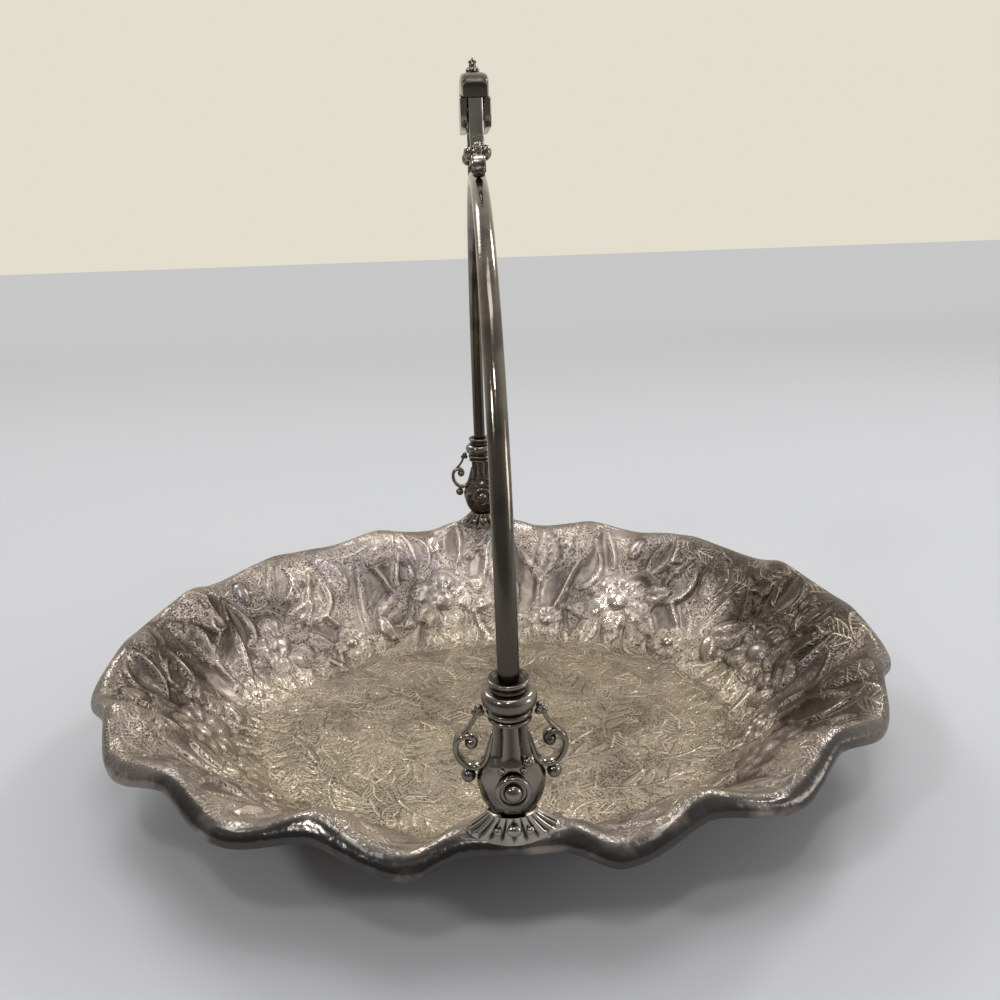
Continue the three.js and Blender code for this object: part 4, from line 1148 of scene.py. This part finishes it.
class BASKET_OT_scrolls(bpy.types.Operator):
    """Builds the four side scrolls"""

    bl_idname = "basket.scrolls"
    bl_label = "Side scrolls"

    def execute(self, context):
        """Makes one scroll and turns it half round for the other side."""
        scroll = scroll_surface()
        for end, post in POSTS:
            for side, turn in (("right", 0), ("left", 180)):
                casting(f"side_scroll_{end}_{side}", scroll.turned(turn).moved(0, post, PIVOT_Z),
                        f"scroll_{end}_{side}")
        return {"FINISHED"}


# Collars, arch and crest

CREST_RISE = 2.4
PLAQUE_HALF_LENGTH = 20
BLOCK_HALF_LENGTH = 11
CAP_HALF_LENGTH = 21.2
CAP_HALF_WIDTH = 4.5
CAP_THICKNESS = 6


class BASKET_OT_collars(bpy.types.Operator):
    """Builds the two ringed collars between the urns and the arch"""

    bl_idname = "basket.collars"
    bl_label = "Collars"

    def execute(self, context):
        """Turns the profile of three rings about the rod's line."""
        rings = ring(np.concatenate([
            [[3.1, 0]], bulge(0, 1.9, 5.0, 6, 10), bulge(2.4, 7.0, 4.9, 7.2, 20, 0.75),
            bulge(7.1, 8.2, 4.7, 5.0, 8),
            [[4.8, 8.4], [5.1, 8.9], [5.45, 9.4], [5.55, 9.8], [5.4, 10.15], [5.05, 10.3]],
            [[4.6, 10.15], [4.0, 9.6], [3.3, 9.3], [3.1, 9.3]],
        ]), 72)
        for end, post in POSTS:
            made = casting(f"collar_rings_{end}", rings.moved(0, post, COLLAR_Z), f"collar_{end}")
            # Painted shade in the grooves between the rings and in the mouth.
            mark_painted_shade(made, lambda x, y, z: smooth(5.5, 4.7, np.hypot(x, y - post)))
            crease(made, 60)
        return {"FINISHED"}


class BASKET_OT_arch(bpy.types.Operator):
    """Builds the arched rod of the handle"""

    bl_idname = "basket.arch"
    bl_label = "Arch"

    def execute(self, context):
        """Sweeps the oval section out of one collar, over a half ellipse and into the other."""
        handle = settings("handle")
        rise = handle.arch_rise / MM
        stand = np.linspace(COLLAR_Z + 3.6, ARCH_Z, 4)[:-1]
        angle = np.linspace(0, math.pi, 220)
        post = coords(0, -POST_Y, stand)
        bow = coords(0, -POST_Y * np.cos(angle), ARCH_Z + rise * np.sin(angle))
        path = np.concatenate([post, bow, (post * [1, -1, 1])[::-1]])
        section = oval(handle.rod_width / MM, handle.rod_depth / MM, 32)
        made = piece("arch_rod", sweep(path, section, (1, 0, 0)), "drawn_silver", "handle",
                     "handle_arch")
        # Painted shade, darker towards the rod's lower part.
        mark_painted_shade(made, lambda x, y, z: 0.75 * smooth(165, 85, z))
        return {"FINISHED"}


def crest_top(y):
    """The arched upper edge that the plaques, the block and the cap share, a parabola."""
    return PLAQUE_TOP_Z + CREST_RISE * (1 - (y / PLAQUE_HALF_LENGTH) ** 2)


def arch_height(y):
    """Height of the rod's middle at a distance from the centre, on a half ellipse."""
    return ARCH_Z + ARCH_RISE * math.sqrt(1 - (y / POST_Y) ** 2)


STRAP_Y = -28
ROLL_RADIUS = 1.8
STRAP_Z = arch_height(STRAP_Y) + ROD_HALF_DEPTH + ROLL_RADIUS + 0.15
EYE_Y = -21
EYE_Z = STRAP_Z + 5.65


def strap_surface():
    """The strap: a band that leaves its roll on the rod, narrows to its eye by a bell curve and
    rises along the crest's end to the cap, with a bead on its outer face."""
    top, steps, sides = PLAQUE_TOP_Z - SEAM, 90, 24
    path = spline([
        [0, STRAP_Y, STRAP_Z], [0, STRAP_Y + 1.6, STRAP_Z + 3.6], [0, EYE_Y, EYE_Z],
        [0, EYE_Y + 0.6, (EYE_Z + top) / 2], [0, EYE_Y + 1.4, top - 3], [0, EYE_Y + 1.5, top],
    ], steps)
    width = 2.3 - 0.9 * np.exp(-((np.linspace(0, 1, steps) - 0.36) / 0.09) ** 2)
    band = sweep(path, oval(1, 1.1, sides, 0.5), (1, 0, 0))
    band.points[:, 0] *= np.concatenate([np.repeat(width, sides), [width[0], width[-1]]])
    return joined(
        band,
        ring(bulge(-1.9, 1.9, 1.2, ROLL_RADIUS, 10), 32, "X").moved(0, STRAP_Y, STRAP_Z),
        ring(bulge(-1.4, 1.4, 2.0, 2.3, 8), 32, "X").moved(0, EYE_Y, EYE_Z),
        ball(1.2, 0, EYE_Y - 1.9, EYE_Z + 2.1),
    )


class BASKET_OT_straps(bpy.types.Operator):
    """Builds the two straps that carry the crest, with their eye pins"""

    bl_idname = "basket.straps"
    bl_label = "Straps and pins"

    def execute(self, context):
        """Makes a strap and its pin and turns both half round."""
        turn = np.linspace(math.radians(80), math.radians(-20), 12)
        boss = coords(2.35 * np.cos(turn), -2.45 - 1.95 * np.sin(turn))
        half = np.concatenate([boss, [[1.2, -1.6]]])
        pin = ring([*half, *(half[::-1] * [1, -1])], 32, "X").moved(0, EYE_Y, EYE_Z)
        strap = strap_surface()
        for end, turn in TURNS:
            # The straps take the cast metal painted lighter.
            made = casting(f"crest_strap_{end}", strap.turned(turn), f"strap_{end}", "cast_silver_painted_light")
            # Painted shade on the strap's lower part and its roll.
            mark_painted_shade(made, lambda x, y, z: 0.8 * smooth(EYE_Z - 1.5, EYE_Z - 3.5, z))
            crease(made, 50)
            crease(casting(f"strap_pin_{end}", pin.turned(turn), f"eye_pin_{end}"))
        return {"FINISHED"}


def crest_plate(half_length, bottom, corner, thickness, bevel):
    """A plate with the arched upper edge and round lower corners, standing in the Y-Z plane."""
    y = np.linspace(half_length, -half_length, 41)
    top = coords(y, crest_top(y) - SEAM)
    turn = np.linspace(0, math.pi / 2, 9)
    low, high = corner * (1 - np.sin(turn)), corner * (1 - np.cos(turn))
    left = coords(high - half_length, bottom + low)
    right = coords(half_length - low, bottom + high)
    return flat_plate(np.concatenate([top, left, right]), thickness, bevel).turned(90)


class BASKET_OT_crest(bpy.types.Operator):
    """Builds the crest on top of the arch: plaques, block and moulded cap"""

    bl_idname = "basket.crest"
    bl_label = "Crest"

    def execute(self, context):
        """Makes the two plaques, the block between them and the cap over both."""
        plaque = crest_plate(PLAQUE_HALF_LENGTH, PLAQUE_TOP_Z - 8.6, 3.5, 2.2, 0.4)
        for side, x in (("left", -3.7), ("right", 3.7)):
            crease(casting(f"plaque_plate_{side}", plaque.moved(x), f"plaque_{side}"))
        block = crest_plate(BLOCK_HALF_LENGTH, BLOCK_Z, 0.3, 4.6, 0.1)
        crease(casting("crest_core", block, "crest_block"))
        made = casting("cap_moulding", self.cap(), "crest_cap")
        # Painted shade along the top of the cap, standing for a dark reflection there.
        mark_painted_shade(made, lambda x, y, z: 0.75 * smooth(4.3, 3.6, abs(x)) * smooth(
            1.5, 3.5, z - crest_top(y)))
        crease(made)
        return {"FINISHED"}

    def cap(self):
        """The cap: a flat section with rounded shoulders carried along the arched edge, lower
        and narrower at both ends by the root of one less the tenth power of the way out."""
        half = np.array([[1, 0.5], [0.99, 0.72], [0.9, 0.9], [0.68, 0.975], [0.35, 1]])
        section = np.array([[-1, 0], [1, 0], *half, [0, 1], *(half[::-1] * [-1, 1])])
        out = np.cos(np.linspace(0, math.pi, 61))[:, None]
        y = CAP_HALF_LENGTH * out
        end = np.sqrt(np.maximum(0.45, 1 - np.abs(out) ** 10))
        return loft(coords(section[:, 0] * CAP_HALF_WIDTH * (0.5 + 0.5 * end), y,
                           crest_top(y) + SEAM + section[:, 1] * CAP_THICKNESS * end))


class BASKET_OT_finial(bpy.types.Operator):
    """Builds the small leaf and bead finial"""

    bl_idname = "basket.finial"
    bl_label = "Finial"

    def execute(self, context):
        """Gathers four leaves, a knob with two side beads and the pointed tip."""
        leaves = [ball(1.1, 1.15, 0, 0.75).turned(90 * step) for step in range(4)]
        tip = ring([[0.74, 2.2], [0.6, 3.2], [0.28, 4.2], [0.12, 4.75], [0.03, 4.9]], 20)
        beads = [ball(0.6, x, 0, 3.34) for x in (0.75, -0.75)]
        whole = joined(*leaves, ball(1.2, 0, 0, 2.24), tip, *beads)
        whole.points[:, 2] = np.maximum(whole.points[:, 2], -0.25)
        casting("finial_bud", whole.moved(0, 0, FINIAL_Z), "finial")
        return {"FINISHED"}


# Stage


class BASKET_OT_stage(bpy.types.Operator):
    """Builds the floor, the lamps and the camera"""

    bl_idname = "basket.stage"
    bl_label = "Stage"

    def execute(self, context):
        """Lays a plain floor, hangs soft lamps and sets the camera at the photograph's place."""
        stage = settings("stage")
        self.backdrop(context, stage)
        self.light(context, stage)
        self.surround(context)
        self.camera(context, stage)
        context.scene.view_settings.view_transform = "Standard"
        return {"FINISHED"}

    def backdrop(self, context, stage):
        """A level floor and an upright wall behind it, with nothing on them."""
        half, back, top = 4.0, 3.0, 4.0
        sheets = {
            "floor": ([(-half, -half, 0), (half, -half, 0), (half, back, 0), (-half, back, 0)],
                      stage.floor),
            "wall": ([(-half, back, 0), (half, back, 0), (half, back, top), (-half, back, top)],
                     stage.wall),
        }
        for name, (corners, tint) in sheets.items():
            mesh = bpy.data.meshes.new(name)
            mesh.from_pydata(corners, [], [(0, 1, 2, 3)])
            sheet = bpy.data.objects.new(name, mesh)
            context.scene.collection.objects.link(sheet)
            mesh.materials.append(self.plain(name, tint))

    def plain(self, name, tint):
        """A matt sheet. The wall, and the floor far behind the basket, show at one even tone to
        the camera and to mirrors, and light nothing else by it."""
        graph = Graph(bpy.data.materials.new(f"plain_{name}"))
        seen = [graph.node("ShaderNodeLightPath", output=kind)
                for kind in ("Is Camera Ray", "Is Glossy Ray", "Is Transmission Ray")]
        far = graph.between(graph.axis(graph.place(), 1), 0.35, 1.3)
        shown = seen[0].do("MAXIMUM", seen[1]).do("MAXIMUM", seen[2]) * far
        even = tint if name == "wall" else [0.94 * tint[1]] * 3
        inputs = {"Base Color": opaque(tint), "Roughness": 0.9}
        matt = graph.node("ShaderNodeBsdfPrincipled", {}, inputs)
        glow = graph.node("ShaderNodeEmission", {}, {"Color": opaque(even)})
        return graph.ended(graph.node("ShaderNodeMixShader", {}, {0: shown, 1: matt, 2: glow}))

    def light(self, context, stage):
        """Soft square lamps all round, turned to the basket: each with its place and its size
        in metres and its share of the lamp power."""
        lamps = {
            "lamp_back_left": ((-0.7, 0.9, 1.1), 0.45, 1.0),
            "lamp_back_right": ((0.8, 0.7, 1.0), 0.25, 0.8),
            "lamp_right": ((1.1, -0.3, 0.38), 0.36, 0.45),
            "lamp_front": ((-0.1, -0.75, 1.3), 0.12, 0.42),
            "lamp_left": ((-0.75, -0.6, 0.95), 0.14, 0.5),
            "lamp_top": ((0.05, -0.1, 1.4), 0.5, 0.6),
        }
        for name, (place, size, power) in lamps.items():
            lamp = bpy.data.lights.new(name, "AREA")
            lamp.size, lamp.energy = size, stage.lamp_power * power
            made = bpy.data.objects.new(name, lamp)
            made.location = place
            aim = Vector((0, 0, 0.06)) - made.location
            made.rotation_euler = aim.to_track_quat("-Z", "Y").to_euler()
            context.scene.collection.objects.link(made)

    def surround(self, context):
        """A warm grey world that brightens from the front left to the back right."""
        graph = Graph(bpy.data.worlds.new("studio"))
        heading = graph.node("ShaderNodeTexCoord", output="Generated")
        away = graph.axis(heading, 0) * 0.45 + graph.axis(heading, 1)
        inputs = {"Color": opaque((1.0, 0.98, 0.95)),
                  "Strength": graph.between(away, -0.9, 0.7, 0.21, 0.85)}
        background = graph.node("ShaderNodeBackground", {}, inputs)
        context.scene.world = graph.ended(background, "ShaderNodeOutputWorld")

    def camera(self, context, stage):
        """The camera's three axes from its pitch, yaw and roll, as its rotation."""
        place = np.array([-9.0, -324.5, 204.6]) * MM
        pitch, yaw, roll = (math.radians(angle) for angle in (18.4, -2.35, 1.89))
        right = np.array([math.cos(yaw), math.sin(yaw), 0])
        ahead = np.array([-math.sin(yaw) * math.cos(pitch), math.cos(yaw) * math.cos(pitch),
                          -math.sin(pitch)])
        up = np.cross(right, ahead)
        tilted = right * math.cos(roll) - up * math.sin(roll)
        upright = right * math.sin(roll) + up * math.cos(roll)
        matrix = np.eye(4)
        matrix[:3] = coords(tilted, upright, -ahead, place)
        data = bpy.data.cameras.new("camera")
        data.lens, data.sensor_width, data.clip_start = stage.lens, 36.0, 0.01
        camera = bpy.data.objects.new("camera", data)
        camera.matrix_world = Matrix(matrix.tolist())
        context.scene.collection.objects.link(camera)
        context.scene.camera = camera


# Add-on

SETTINGS = {
    "basket_dish": DishSizes,
    "basket_handle": HandleSizes,
    "basket_finish": Finishes,
    "basket_stage": StageSettings,
}
OPERATORS = (
    BASKET_OT_dish, BASKET_OT_feet, BASKET_OT_urns, BASKET_OT_medallions, BASKET_OT_scrolls,
    BASKET_OT_collars, BASKET_OT_arch, BASKET_OT_straps, BASKET_OT_crest, BASKET_OT_finial,
    BASKET_OT_stage,
)


class BASKET_PT_panel(bpy.types.Panel):
    """The basket's pieces and settings in the 3D view's sidebar"""

    bl_label = "Cake basket"
    bl_space_type = "VIEW_3D"
    bl_region_type = "UI"
    bl_category = "Basket"

    def draw(self, context):
        """Lists every operator, then every setting."""
        for operator in OPERATORS:
            self.layout.operator(operator.bl_idname)
        for name, group in SETTINGS.items():
            box = self.layout.box()
            for label in group.__annotations__:
                box.prop(getattr(context.scene, name), label)


def register():
    """Registers the settings, the operators and the panel."""
    for made in (*SETTINGS.values(), *OPERATORS, BASKET_PT_panel):
        bpy.utils.register_class(made)
    for name, group in SETTINGS.items():
        setattr(bpy.types.Scene, name, PointerProperty(type=group))


def unregister():
    """Takes them out again."""
    for name in SETTINGS:
        delattr(bpy.types.Scene, name)
    for made in reversed((*SETTINGS.values(), *OPERATORS, BASKET_PT_panel)):
        bpy.utils.unregister_class(made)


def main():
    """Builds every piece in order."""
    register()
    for operator in OPERATORS:
        family, name = operator.bl_idname.split(".")
        getattr(getattr(bpy.ops, family), name)()
    bpy.context.view_layer.update()


if __name__ == "__main__":
    main()
